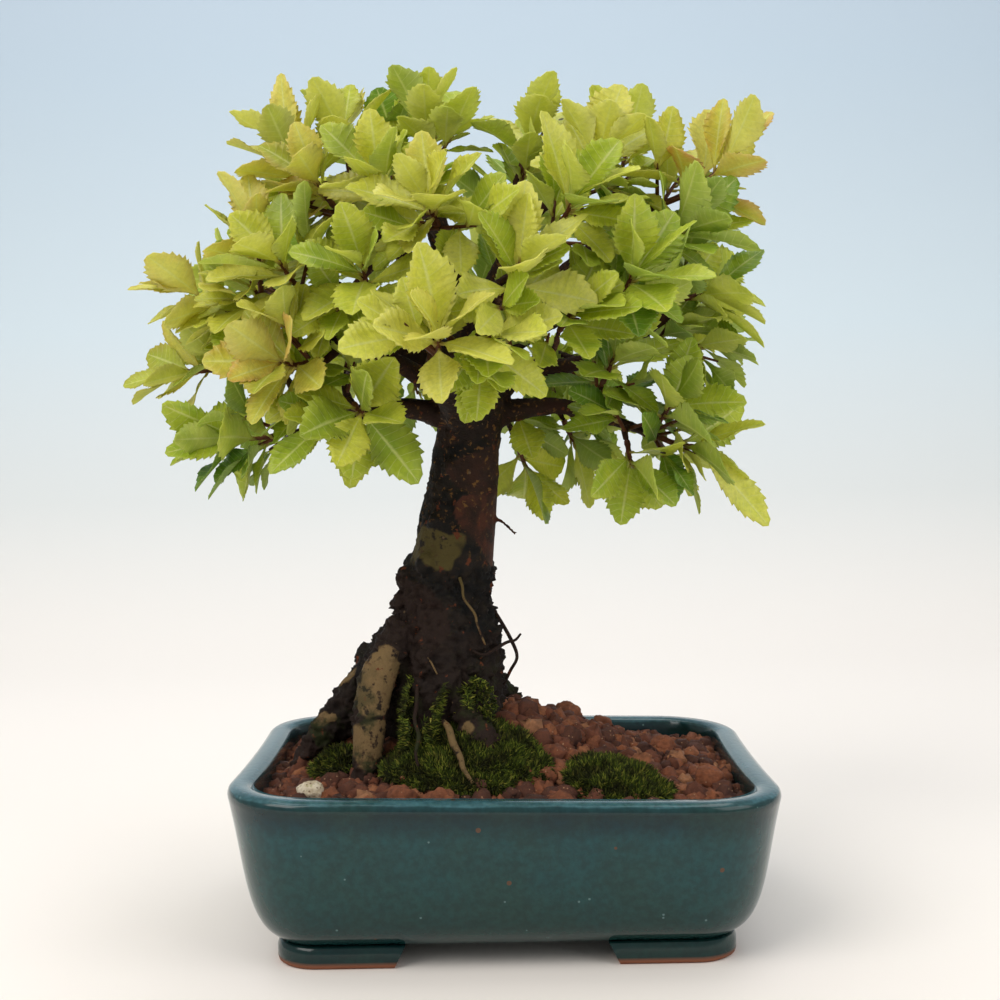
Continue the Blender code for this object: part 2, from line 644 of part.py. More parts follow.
def loose_pieces():
    """Every loose piece as (name, shape settings, draped)."""
    for i, (name, x, y, size) in enumerate(GRAVEL + (PUMICE,)):
        yield name, (x * MM * ROOM_X, y * MM * ROOM_Y, size, 100 + i, 1), 0.36, False
    for i, (name, x, y, size) in enumerate(MOSS):
        yield name, (x * MM * ROOM_X, y * MM * ROOM_Y, size, 200 + i, 2), 0.40, True


# ---- wood ----
def low_wood(grow=0.0):
    """Trunk foot with its roots: what stands in the soil."""
    points, radii = TRUNK_PATH
    stem = solid("stem", *tube_shape(points[:7], radii[:7], 12, grow))
    roots = []
    for spec in ROOTS:
        path, thick = limb_path(spec, root_at, 1.0)
        roots.append(solid("root", *tube_shape(path, thick, 8, grow)))
    return combine(stem, roots, "UNION")


def make_tree():
    points, radii = TRUNK_PATH
    stem = solid("stem", *tube_shape(points, radii, 12))
    pieces = []
    for spec in ROOTS:
        path, thick = limb_path(spec, root_at, 1.0)
        pieces.append(solid("root", *tube_shape(path, thick, 8)))
    for spec in STUBS:
        path, thick = limb_path(spec, at, 1.0)
        pieces.append(solid("stub", *tube_shape(path, thick, 5)))
    for path, thick in LIMB_PATHS.values():
        pieces.append(solid("limb", *tube_shape(path, thick, 6)))
    for path, thick in FEEDERS.values():
        pieces.append(solid("side", *tube_shape(path, thick, 4)))
    combine(stem, pieces, "UNION")
    return finish_part(stem, "trunk", new_material("dark_bark", (0.035, 0.022, 0.015), 0.9))


def is_closed(mesh):
    bm = bmesh.new()
    bm.from_mesh(mesh)
    bmesh.ops.remove_doubles(bm, verts=bm.verts, dist=2e-6)
    sound = all(len(e.link_faces) == 2 for e in bm.edges)
    bm.free()
    return sound


def add_blade(twig, leaf):
    """Union one leaf with the twig, nudged a hair where the cut would pass through a corner."""
    before = twig.data.copy()
    for k in range(8):
        verts, faces = leaf_solid(*leaf[1:])
        nudge = Vector((0.00011 * k, -0.00007 * k, 0.00013 * k))
        combine(twig, [solid("leaf", [v + nudge for v in verts], faces)], "UNION")
        if is_closed(twig.data):
            break
        twig.data = before.copy()
    return twig


def make_sprays():
    plan = leaf_plan()
    colour = new_material("leaf_green", (0.35, 0.50, 0.06), 0.5)
    for shoot, *rest in SHOOTS:
        points = twig_points(shoot)
        twig = solid("twig", *tube_shape(points, [0.0010, 0.0009, 0.0009], 4))
        for leaf in plan:
            if leaf[0] == shoot:
                twig = add_blade(twig, leaf)
        finish_part(twig, "spray_" + shoot, colour)
    print("leaves", len(plan))


def make_filling():
    soil = make_soil()
    cuts = []
    for name, where, sink, draped in loose_pieces():
        cuts.append(solid("cut", *stone_shape(*where, GAP, sink, draped)))
    for s in (-1, 1):
        x, half = s * DRAIN_OFFSET, SCREEN_SIZE / 2 + GAP
        high = FLOOR_TOP + SCREEN_THICK + 0.0012
        cuts.append(block("cut", (x - half, -half, FLOOR_TOP - 0.004), (x + half, half, high)))
    cuts.append(solid("cut", *wire_shape(GAP)))
    cuts.append(low_wood(GAP))
    combine(soil, cuts, "DIFFERENCE")
    finish_part(soil, "soil", new_material("red_brown_clay_soil", (0.20, 0.07, 0.04), 0.95))
    moss = new_material("moss_green", (0.06, 0.11, 0.02), 1.0)
    gravel = new_material("fired_clay_grain", (0.30, 0.11, 0.06), 0.95)
    pumice = new_material("pale_pumice", (0.65, 0.62, 0.55), 0.9)
    top = POT_HEIGHT - SOIL_BELOW_RIM
    for name, where, sink, draped in loose_pieces():
        piece = solid(name, *stone_shape(*where, 0.0, sink, draped))
        if draped:
            edge = inner_inset(top - 0.01) + 2 * GAP
            room = solid("room", *loft([(edge, top - 0.010), (edge, top + 0.05)]))
            combine(piece, [room], "INTERSECT")
            combine(piece, [low_wood(GAP)], "DIFFERENCE")
        finish_part(piece, name, moss if draped else pumice if name == "pumice" else gravel)


make_pot()
make_screen("drain_screen_left", -DRAIN_OFFSET)
make_screen("drain_screen_right", DRAIN_OFFSET)
finish_part(solid("wire", *wire_shape()), "tie_wire", new_material("aluminium_wire", (0.5, 0.5, 0.5), 0.35))
make_filling()
make_tree()
make_sprays()

# ---- put the origin at the middle of the box, on the foot ----
lows = Vector((9, 9, 9))
highs = Vector((-9, -9, -9))
for part in PARTS.objects:
    for v in part.data.vertices:
        lows = Vector(map(min, lows, v.co))
        highs = Vector(map(max, highs, v.co))
shift = Vector((-(lows.x + highs.x) / 2, -(lows.y + highs.y) / 2, -lows.z))
for part in PARTS.objects:
    part.data.transform(Matrix.Translation(shift))
    part.data.update()
print("box", [round(v, 4) for v in lows], [round(v, 4) for v in highs])
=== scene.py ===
# %% [markdown]
# # A small tree in a glazed pot
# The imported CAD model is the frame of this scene: it fixes every size and place. Each piece of it
# is rebuilt here with the detail that the eye looks for, and stands exactly where its CAD node is.

import math
import random

import bmesh
import bpy
import numpy as np
from mathutils import Matrix, Vector, noise
from mathutils.bvhtree import BVHTree
from mathutils.kdtree import KDTree


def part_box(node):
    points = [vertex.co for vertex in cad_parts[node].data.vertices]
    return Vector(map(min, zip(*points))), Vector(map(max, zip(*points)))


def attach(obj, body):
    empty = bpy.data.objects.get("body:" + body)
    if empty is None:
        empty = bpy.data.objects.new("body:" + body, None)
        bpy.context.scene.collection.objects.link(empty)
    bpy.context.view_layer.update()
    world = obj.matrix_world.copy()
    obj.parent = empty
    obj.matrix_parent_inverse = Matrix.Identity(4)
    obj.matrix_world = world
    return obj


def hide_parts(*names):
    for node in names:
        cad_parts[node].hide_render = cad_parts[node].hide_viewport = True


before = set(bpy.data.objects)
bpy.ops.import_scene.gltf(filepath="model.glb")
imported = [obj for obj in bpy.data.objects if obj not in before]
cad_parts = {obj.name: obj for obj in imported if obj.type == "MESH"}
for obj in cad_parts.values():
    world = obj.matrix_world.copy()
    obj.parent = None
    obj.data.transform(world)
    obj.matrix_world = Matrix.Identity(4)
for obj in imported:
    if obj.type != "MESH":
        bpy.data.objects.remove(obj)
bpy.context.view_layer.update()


pot_low, pot_high = (Vector(c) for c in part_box("pot"))
POT_MIDDLE = Vector(((pot_low.x + pot_high.x) / 2, (pot_low.y + pot_high.y) / 2, pot_low.z))

# %% [markdown]
# ## Sizes
# These are the same driving sizes as the CAD source has. Everything below is laid out from the
# middle of the pot's underside, and `home` carries a point from there to its place in the frame.

# %% Sizes in metres
MM = 0.001
POT_LENGTH, POT_DEPTH, POT_HEIGHT = 0.1845, 0.145, 0.057
TREE_X = -0.0012
RIM_CORNER, RIM_WIDTH, WALL = 0.031, 0.0085, 0.0070
SIDE_PINCH, RIM_TILT = 0.0022, 0.0225
FLOOR_THICK, FOOT_HEIGHT, FOOT_INSET, FOOT_BAND = 0.0060, 0.0070, 0.0155, 0.0100
FOOT_GAP_FRONT, FOOT_GAP_SIDE = 0.0320, 0.0200
DRAIN_DIAMETER, DRAIN_OFFSET = 0.0130, 0.0360
SOIL_BELOW_RIM, MOUND_HEIGHT, MOUND_X = 0.0070, 0.0270, -0.0120
FLOOR_TOP = FOOT_HEIGHT + FLOOR_THICK
GAP = 0.0003
SEED = 27
noise.seed_set(SEED)     # without this, noise vectors start from the clock and the bark varies
GOLDEN_TURN = 137.5


def home(point):
    return Vector(point) + POT_MIDDLE


def at(x, y, z):
    """A place given in mm from the middle of the pot's underside."""
    return Vector((TREE_X + x * MM, y * MM, z * MM))


print("pot", POT_LENGTH, POT_DEPTH, POT_HEIGHT)

# %% [markdown]
# ## Camera, floor and light
# The camera stands half a metre in front of the pot, a little above the middle of the trunk, and
# looks very slightly down. The floor runs back into a tall curved backdrop, cream below and pale
# blue above, so that no horizon line shows. Two big soft lamps and a bright sky give the even
# light of a white studio.

# %% Camera
CAMERA_FROM_POT = Vector((0.0003, -0.514, 0.1708))
LOOK_DOWN, LEAN = math.radians(2.549), math.radians(-1.037)
LENS_MM = 51.97

camera_data = bpy.data.cameras.new("camera")
camera_data.lens = LENS_MM
camera_data.sensor_width = 36
camera_data.clip_start = 0.01
camera = bpy.data.objects.new("camera", camera_data)
bpy.context.scene.collection.objects.link(camera)
ahead = Vector((0, math.cos(LOOK_DOWN), -math.sin(LOOK_DOWN)))
level_right = Vector((1, 0, 0))
level_up = Vector((0, math.sin(LOOK_DOWN), math.cos(LOOK_DOWN)))
right = level_right * math.cos(LEAN) + level_up * math.sin(LEAN)
up = level_up * math.cos(LEAN) - level_right * math.sin(LEAN)
turned = Matrix((right, up, -ahead)).transposed().to_4x4()
camera.matrix_world = Matrix.Translation(home(CAMERA_FROM_POT)) @ turned
bpy.context.scene.camera = camera
print("camera at", tuple(round(v, 3) for v in camera.location))


# %% Small makers for materials and meshes
def new_material(name):
    made = bpy.data.materials.new(name)
    made.use_nodes = True
    nodes = made.node_tree.nodes
    return made, nodes, made.node_tree.links, nodes["Principled BSDF"]


def srgb(r, g, b):
    """A colour as the eye reads it, 0 to 255, turned into the linear numbers a shader takes."""
    def linear(v):
        v /= 255
        return v / 12.92 if v <= 0.04045 else ((v + 0.055) / 1.055) ** 2.4
    return (linear(r), linear(g), linear(b), 1)


def node(nodes, kind, **values):
    made = nodes.new(kind)
    for key, value in values.items():
        if hasattr(made, key):
            setattr(made, key, value)
        else:
            made.inputs[key.replace("_", " ")].default_value = value
    return made


def fact(nodes, name):
    """A value kept on the points, as a socket."""
    return node(nodes, "ShaderNodeAttribute", attribute_name=name).outputs["Fac"]


def ranged(nodes, links, value, **ends):
    """A socket's value carried from one range to another, and held inside it."""
    made = node(nodes, "ShaderNodeMapRange", **ends)
    links.new(value, made.inputs["Value"])
    return made.outputs["Result"]


def reckon(nodes, links, operation, *inputs):
    """One sum whose inputs are sockets or plain numbers; returns its socket."""
    made = node(nodes, "ShaderNodeMath", operation=operation)
    for socket, value in zip(made.inputs, inputs):
        if isinstance(value, (int, float)):
            socket.default_value = value
        else:
            links.new(value, socket)
    return made.outputs[0]


def ramp(nodes, stops):
    made = nodes.new("ShaderNodeValToRGB")
    marks = made.color_ramp.elements
    while len(marks) < len(stops):
        marks.new(0.5)
    for mark, (place, colour) in zip(marks, stops):
        mark.position = place
        mark.color = colour
    return made


def mixer(nodes, links, factor, first, second, blend="MIX"):
    """A colour mix whose three inputs are sockets or plain values; returns its colour socket."""
    made = nodes.new("ShaderNodeMix")
    made.data_type = "RGBA"
    made.blend_type = blend
    for socket, value in ((made.inputs[0], factor), (made.inputs[6], first), (made.inputs[7], second)):
        if isinstance(value, bpy.types.NodeSocket):
            links.new(value, socket)
        else:
            socket.default_value = value
    return made.outputs[2]


def shade_smooth(mesh):
    mesh.polygons.foreach_set("use_smooth", [True] * len(mesh.polygons))


def keep_values(mesh, name, values):
    """Keep one number on each point under a name that a material can read."""
    mesh.attributes.new(name, "FLOAT", "POINT").data.foreach_set("value", values)


def linked(name, mesh):
    made = bpy.data.objects.new(name, mesh)
    bpy.context.scene.collection.objects.link(made)
    return made


def mesh_object(name, verts, faces, smooth=True):
    mesh = bpy.data.meshes.new(name)
    mesh.from_pydata([tuple(v) for v in verts], [], faces)
    mesh.update()
    if smooth:
        shade_smooth(mesh)
    return linked(name, mesh)


def bmesh_object(name, bm):
    mesh = bpy.data.meshes.new(name)
    bm.to_mesh(mesh)
    bm.free()
    return linked(name, mesh)


def face_outwards(obj):
    bm = bmesh.new()
    bm.from_mesh(obj.data)
    bmesh.ops.remove_doubles(bm, verts=bm.verts, dist=1e-6)
    bmesh.ops.recalc_face_normals(bm, faces=bm.faces)
    bm.to_mesh(obj.data)
    bm.free()


def baked(obj):
    """Turn an object's modifiers into plain mesh."""
    bpy.context.view_layer.update()
    graph = bpy.context.evaluated_depsgraph_get()
    mesh = bpy.data.meshes.new_from_object(obj.evaluated_get(graph))
    obj.modifiers.clear()
    obj.data = mesh
    return obj


def place_home(obj):
    obj.data.transform(Matrix.Translation(POT_MIDDLE))
    obj.data.update()
    return obj


print("makers ready")

# %% Floor and backdrop
FLOOR_HALF, WALL_START, WALL_TOP, CURVE = 2.2, 0.55, 2.4, 0.5
profile = [(-FLOOR_HALF, 0.0), (WALL_START, 0.0)]
profile += [(WALL_START + CURVE * math.sin(a), CURVE * (1 - math.cos(a)))
            for a in (math.radians(9 * k) for k in range(1, 11))]
profile += [(WALL_START + CURVE, WALL_TOP)]
sheet_points = [Vector((x, y, z)) for y, z in profile for x in (-FLOOR_HALF, FLOOR_HALF)]
sheet_faces = [(2 * i, 2 * i + 1, 2 * i + 3, 2 * i + 2) for i in range(len(profile) - 1)]
backdrop = mesh_object("studio_floor", sheet_points, sheet_faces)
paper, nodes, links, shader = new_material("studio_paper")
place = nodes.new("ShaderNodeTexCoord")
height = nodes.new("ShaderNodeSeparateXYZ")
links.new(place.outputs["Object"], height.inputs[0])
band = ranged(nodes, links, height.outputs["Z"], From_Min=0.0, From_Max=0.95)
tint = ramp(nodes, ((0.0, srgb(249, 241, 233)), (0.12, srgb(226, 228, 226)), (0.30, srgb(213, 226, 233)),
                    (0.6, srgb(195, 212, 226)), (1.0, srgb(184, 198, 216))))
links.new(band, tint.inputs["Fac"])
links.new(tint.outputs["Color"], shader.inputs["Base Color"])
shader.inputs["Roughness"].default_value = 0.9
backdrop.data.materials.append(paper)
print("backdrop", len(backdrop.data.polygons), "faces")


# %% Lights
KEY_WATTS, FILL_WATTS, TOP_WATTS, SKY_STRENGTH = 11.0, 5.0, 7.5, 0.42


def soft_lamp(name, place, target, size, watts, colour):
    lamp = bpy.data.lights.new(name, "AREA")
    lamp.shape = "RECTANGLE"
    lamp.size, lamp.size_y = size
    lamp.energy = watts
    lamp.color = colour
    obj = linked(name, lamp)
    obj.location = place
    obj.rotation_euler = (Vector(target) - Vector(place)).to_track_quat("-Z", "Y").to_euler()


soft_lamp("key_lamp", (-0.75, -0.75, 1.05), (0, 0, 0.12), (0.9, 0.9), KEY_WATTS, (1.0, 0.97, 0.93))
soft_lamp("fill_lamp", (0.95, -0.65, 0.75), (0, 0, 0.12), (0.9, 0.9), FILL_WATTS, (0.97, 0.98, 1.0))
soft_lamp("top_lamp", (0.0, 0.25, 1.3), (0, 0.05, 0.1), (1.2, 0.9), TOP_WATTS, (1.0, 1.0, 1.0))

sky = bpy.data.worlds.new("studio_sky")
sky.use_nodes = True
sky.node_tree.nodes["Background"].inputs["Color"].default_value = (0.95, 0.98, 1.0, 1)
sky.node_tree.nodes["Background"].inputs["Strength"].default_value = SKY_STRENGTH
bpy.context.scene.world = sky
bpy.context.scene.view_settings.view_transform = "Standard"
print("three lamps and a sky")

# %% [markdown]
# ## Patterns that several finishes share
# Fired glaze, bark, clay grains and leaves all need soft blotches, fine grit and tiny specks. Each
# is made once as a shader node group that puts out a mask, and every material sets its own size
# and contrast.


# %% Shader groups for blotches and specks
def shader_group(name, inputs, outputs):
    group = bpy.data.node_groups.new(name, "ShaderNodeTree")
    for label, kind, value in inputs:
        socket = group.interface.new_socket(name=label, in_out="INPUT", socket_type=kind)
        if value is not None:
            socket.default_value = value
    for label, kind in outputs:
        group.interface.new_socket(name=label, in_out="OUTPUT", socket_type=kind)
    return group, group.nodes.new("NodeGroupInput"), group.nodes.new("NodeGroupOutput")


def make_blotches():
    """Soft uneven patches: one detailed noise, its band from Low to High stretched smoothly to the full 0
    to 1 range.
    """
    group, inside, out = shader_group(
        "blotches", (("Place", "NodeSocketVector", None), ("Size", "NodeSocketFloat", 30.0),
                     ("Grit", "NodeSocketFloat", 4.0),
                     ("Low", "NodeSocketFloat", 0.35), ("High", "NodeSocketFloat",
                                                        0.65)), (("Mask", "NodeSocketFloat"),))
    cloud = node(group.nodes, "ShaderNodeTexNoise", Detail=6.0, Roughness=0.6)
    group.links.new(inside.outputs["Place"], cloud.inputs["Vector"])
    group.links.new(inside.outputs["Size"], cloud.inputs["Scale"])
    group.links.new(inside.outputs["Grit"], cloud.inputs["Detail"])
    spread = node(group.nodes, "ShaderNodeMapRange", interpolation_type="SMOOTHSTEP")
    group.links.new(cloud.outputs["Fac"], spread.inputs["Value"])
    group.links.new(inside.outputs["Low"], spread.inputs["From Min"])
    group.links.new(inside.outputs["High"], spread.inputs["From Max"])
    group.links.new(spread.outputs["Result"], out.inputs["Mask"])
    return group


def make_specks():
    """Scattered small dots: near the middle of some cells of a cell pattern."""
    group, inside, out = shader_group(
        "specks", (("Place", "NodeSocketVector", None), ("Size", "NodeSocketFloat", 200.0),
                   ("Dot", "NodeSocketFloat", 0.2),
                   ("Share", "NodeSocketFloat", 0.3)), (("Mask", "NodeSocketFloat"),))
    cells = node(group.nodes, "ShaderNodeTexVoronoi")
    group.links.new(inside.outputs["Place"], cells.inputs["Vector"])
    group.links.new(inside.outputs["Size"], cells.inputs["Scale"])
    near = node(group.nodes, "ShaderNodeMath", operation="LESS_THAN")
    group.links.new(cells.outputs["Distance"], near.inputs[0])
    group.links.new(inside.outputs["Dot"], near.inputs[1])
    pick = node(group.nodes, "ShaderNodeSeparateColor")
    group.links.new(cells.outputs["Color"], pick.inputs[0])
    chosen = node(group.nodes, "ShaderNodeMath", operation="LESS_THAN")
    group.links.new(pick.outputs[0], chosen.inputs[0])
    group.links.new(inside.outputs["Share"], chosen.inputs[1])
    both = node(group.nodes, "ShaderNodeMath", operation="MULTIPLY")
    group.links.new(near.outputs[0], both.inputs[0])
    group.links.new(chosen.outputs[0], both.inputs[1])
    group.links.new(both.outputs[0], out.inputs["Mask"])
    return group


BLOTCHES, SPECKS = make_blotches(), make_specks()


def pattern(nodes, links, group, place, **values):
    made = nodes.new("ShaderNodeGroup")
    made.node_tree = group
    links.new(place, made.inputs["Place"])
    for key, value in values.items():
        made.inputs[key].default_value = value
    return made.outputs["Mask"]


def object_place(nodes):
    return nodes.new("ShaderNodeTexCoord").outputs["Object"]


def bump_from(nodes, links, shader, height, strength, distance):
    made = node(nodes, "ShaderNodeBump", Strength=strength, Distance=distance)
    links.new(height, made.inputs["Height"])
    links.new(made.outputs["Normal"], shader.inputs["Normal"])


print("groups", BLOTCHES.name, SPECKS.name)

# %% [markdown]
# ## The pot
# A mould-pressed clay pot: a rounded rectangle whose sides lean in and round under to a foot band,
# a soft lip, and four corner feet left where the band is cut away. It is lofted ring by ring, so
# the wall, lip and inside stay one skin. The band is a second ring with its gaps cut out.
# The glaze is a dark teal with small rust and pale specks. Up the wall it is painted darker towards the
# bottom, with a painted shade band under the lip and a painted highlight over the top of the lip. The feet
# were wiped before firing, so their soles are bare clay.

# %% Rounded rectangle and loft
CORNER_STEPS, SIDE_STEPS = 14, 24


def outline(inset):
    """Rounded rectangle in from the rim, with the short sides bowed in a little."""
    hx, hy = POT_LENGTH / 2 - inset, POT_DEPTH / 2 - inset
    radius = max(0.004, RIM_CORNER - inset)
    corners = ((1, 1, 0), (-1, 1, 90), (-1, -1, 180), (1, -1, 270))
    arcs = []
    for qx, qy, start in corners:
        arcs.append([(qx * (hx - radius) + radius * math.cos(math.radians(start + 90 * k / CORNER_STEPS)),
                      qy * (hy - radius) + radius * math.sin(math.radians(start + 90 * k / CORNER_STEPS)))
                     for k in range(CORNER_STEPS + 1)])
    points = []
    for i, arc in enumerate(arcs):
        points += arc
        (x0, y0), (x1, y1) = arc[-1], arcs[(i + 1) % 4][0]
        points += [(x0 + (x1 - x0) * k / SIDE_STEPS, y0 + (y1 - y0) * k / SIDE_STEPS) for k in range(1,
                SIDE_STEPS)]
    return [(x - math.copysign(SIDE_PINCH * max(0.0, 1 - (y / hy) ** 2) * abs(x) / hx, x), y) for x,
            y in points]


def tilt(x, z):
    """The rim was fired a little lower on the right."""
    if z <= FOOT_HEIGHT:
        return z
    return z - RIM_TILT * x * (z - FOOT_HEIGHT) / (POT_HEIGHT - FOOT_HEIGHT)


def loft(levels):
    verts, faces = [], []
    count = len(outline(0))
    for inset, z in levels:
        verts += [Vector((x, y, tilt(x, z))) for x, y in outline(inset)]
    for i in range(len(levels) - 1):
        for k in range(count):
            a, b = i * count + k, i * count + (k + 1) % count
            faces.append((a, b, b + count, a + count))
    faces.append(tuple(reversed(range(count))))
    faces.append(tuple((len(levels) - 1) * count + k for k in range(count)))
    return verts, faces


def inner_inset(z):
    share = (POT_HEIGHT - z) / (POT_HEIGHT - FLOOR_TOP)
    return RIM_WIDTH + 0.0005 + share * WALL


def eased(levels, steps):
    """More levels on a smooth curve through the given (inset, z) pairs."""
    points = [Vector((a, b, 0)) for a, b in levels]
    return [(p.x, p.y) for p in smooth(points, steps)]


def smooth(points, steps):
    ends = [points[0] * 2 - points[1]] + list(points) + [points[-1] * 2 - points[-2]]
    out = []
    for i in range(1, len(ends) - 2):
        a, b, c, d = ends[i - 1:i + 3]
        for k in range(steps):
            t = k / steps
            out.append(0.5 * (b * 2 + (c - a) * t + (a * 2 - b * 5 + c * 4 - d) * t * t
                              + (b * 3 - a - c * 3 + d) * t ** 3))
    return out + [points[-1]]


print("ring of", len(outline(0)), "points")


# %% Pot body and feet
def cut(target, tools, operation="DIFFERENCE"):
    for tool in tools:
        mod = target.modifiers.new("cut", "BOOLEAN")
        mod.solver, mod.operation, mod.object = "EXACT", operation, tool
    baked(target)
    for tool in tools:
        bpy.data.objects.remove(tool)


def wedge(half, over, height, reach, across):
    """A bar whose ends slope: wider at the bottom than at the top."""
    shape = ((-half - over, -0.001), (half + over, -0.001), (half, height), (-half, height))
    verts = []
    for side in (-reach, reach):
        verts += [Vector((side, a, z)) if across else Vector((a, side, z)) for a, z in shape]
    bar = mesh_object("bar", verts, [(0, 1, 2, 3), (4, 5, 6, 7), (0, 1, 5, 4), (1, 2, 6, 5), (2, 3, 7, 6),
                                     (3, 0, 4, 7)], False)
    face_outwards(bar)
    return bar


def make_pot():
    h, f = POT_HEIGHT, FOOT_HEIGHT
    wall = h - f
    outer = eased([(0.0185, f), (0.0145, f + 0.0022), (0.0108, f + 0.0055), (0.0078, f + 0.0110),
                   (0.0052, f + wall * 0.40),
                   (0.0022, f + wall * 0.72), (0.0006, h - 0.0060), (0.0, h - 0.0030), (0.0006, h - 0.0010),
                   (0.0022, h)], 4)
    inner = eased([(RIM_WIDTH - 0.0022, h), (RIM_WIDTH - 0.0002, h - 0.0012),
                   (inner_inset(h - 0.004), h - 0.0040),
                   (inner_inset(FLOOR_TOP + 0.005), FLOOR_TOP + 0.0050), (inner_inset(FLOOR_TOP) + 0.004,
                                                                          FLOOR_TOP)], 4)
    body = mesh_object("glazed_pot", *loft([(0.0230, f)] + outer + inner))
    face_outwards(body)
    low = [(FOOT_INSET + 0.0012, 0.0), (FOOT_INSET + 0.0003, 0.0006), (FOOT_INSET, 0.0016),
           (FOOT_INSET, 0.0050),
           (FOOT_INSET + 0.0006, f), (FOOT_INSET + 0.0012, f + 0.0004)]
    band = mesh_object("band", *loft(low))
    hollow = mesh_object("hollow", *loft([(FOOT_INSET + FOOT_BAND, -0.001), (FOOT_INSET + FOOT_BAND + 0.001,
                                                                             f + 0.001)]))
    face_outwards(band)
    face_outwards(hollow)
    cut(band, [hollow, wedge(FOOT_GAP_FRONT, 0.005, f + 0.002, POT_DEPTH, False),
               wedge(FOOT_GAP_SIDE, 0.005, f + 0.002, POT_LENGTH, True)])
    cut(body, [band], "UNION")
    holes = []
    for s in (-1, 1):
        bm = bmesh.new()
        place = Matrix.Translation((s * DRAIN_OFFSET, 0, FLOOR_TOP - 0.005))
        bmesh.ops.create_cone(bm, cap_ends=True, segments=40, radius1=DRAIN_DIAMETER / 2,
                              radius2=DRAIN_DIAMETER / 2, depth=0.03, matrix=place)
        holes.append(bmesh_object("hole", bm))
    cut(body, holes)
    shade_smooth(body.data)
    body.data.set_sharp_from_angle(angle=math.radians(40))
    return place_home(body)


pot = make_pot()
print("pot faces", len(pot.data.polygons))


# %% Glaze and bare clay
def make_glaze():
    made, nodes, links, shader = new_material("teal_glaze")
    place = object_place(nodes)
    split = nodes.new("ShaderNodeSeparateXYZ")
    links.new(place, split.inputs[0])
    level = reckon(nodes, links, "MULTIPLY_ADD", split.outputs["X"], RIM_TILT, split.outputs["Z"])
    height = ranged(nodes, links, level, From_Min=0.0, From_Max=POT_HEIGHT + 0.0004)
    wander = node(nodes, "ShaderNodeTexNoise", Scale=70.0, Detail=3.0)
    links.new(place, wander.inputs["Vector"])
    shift = reckon(nodes, links, "MULTIPLY_ADD", wander.outputs["Fac"], 0.03, height)
    # Height ramp up the wall: darker towards the bottom, a painted shade band under the lip (0.89 to 0.955)
    # and a painted highlight over the top of the lip (0.992 to 1).
    teal_with_painted_rim_light = ramp(nodes, ((0.0, srgb(10, 38, 38)), (0.18, srgb(14, 50, 50)), (0.45, srgb(22, 66, 66)), (0.80,
            srgb(22, 70, 74)),
                       (0.89, srgb(8, 46, 54)), (0.955, srgb(12, 38, 42)), (0.992, srgb(30, 66, 70)), (1.0,
                               srgb(70, 112, 120))))
    links.new(shift, teal_with_painted_rim_light.inputs["Fac"])
    cloud = pattern(nodes, links, BLOTCHES, place, Size=38.0, Grit=8.0, Low=0.32, High=0.68)
    colour = mixer(nodes, links, cloud, teal_with_painted_rim_light.outputs["Color"], srgb(30, 60, 52), "MIX")
    colour = mixer(nodes, links, 0.55, teal_with_painted_rim_light.outputs["Color"], colour)
    fine = pattern(nodes, links, BLOTCHES, place, Size=420.0, Grit=4.0, Low=0.30, High=0.75)
    colour = mixer(nodes, links, fine, mixer(nodes, links, 0.45, colour, srgb(8, 26, 28)), colour)
    rust = pattern(nodes, links, SPECKS, place, Size=120.0, Dot=0.10, Share=0.20)
    colour = mixer(nodes, links, rust, colour, srgb(84, 60, 44))
    pale = pattern(nodes, links, SPECKS, place, Size=300.0, Dot=0.12, Share=0.10)
    colour = mixer(nodes, links, pale, colour, srgb(84, 112, 112))
    sole = ranged(nodes, links, split.outputs["Z"], From_Min=0.0012, From_Max=0.0024)
    colour = mixer(nodes, links, sole, srgb(132, 84, 62), colour)
    links.new(colour, shader.inputs["Base Color"])
    shine = ranged(nodes, links, sole, To_Min=0.75, To_Max=0.17)
    links.new(shine, shader.inputs["Roughness"])
    gloss = reckon(nodes, links, "MULTIPLY", sole, 0.38)
    links.new(gloss, shader.inputs["Coat Weight"])
    shader.inputs["Coat Roughness"].default_value = 0.10
    shader.inputs["Specular IOR Level"].default_value = 0.18
    bump_from(nodes, links, shader, fine, 0.10, 0.0004)
    return made


pot.data.materials.clear()
pot.data.materials.append(make_glaze())
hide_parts("pot")
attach(pot, "root")
print("glaze done")

# %% [markdown]
# ## Where the wood and the shoots go
# The tree is laid out as a designer would note it: a trunk line with its thickness, roots, limbs,
# and one line for each leafy shoot with where it starts, where it points and how many leaves it
# carries. A side branch is found for each shoot by reaching back to the nearest limb. The leaves
# then take their turns round each shoot. A planned leaf that would cut into another shoot, into
# wood, or into the outer part of a blade on its own shoot is turned and shortened, or left out.
# These are the same rules and the same seeds as in the CAD source, so every leaf here has its
# plain solid at the same place. The fine leaves made later wave and twist round that plan, so
# blades that lie close together on one shoot can still pass through each other.

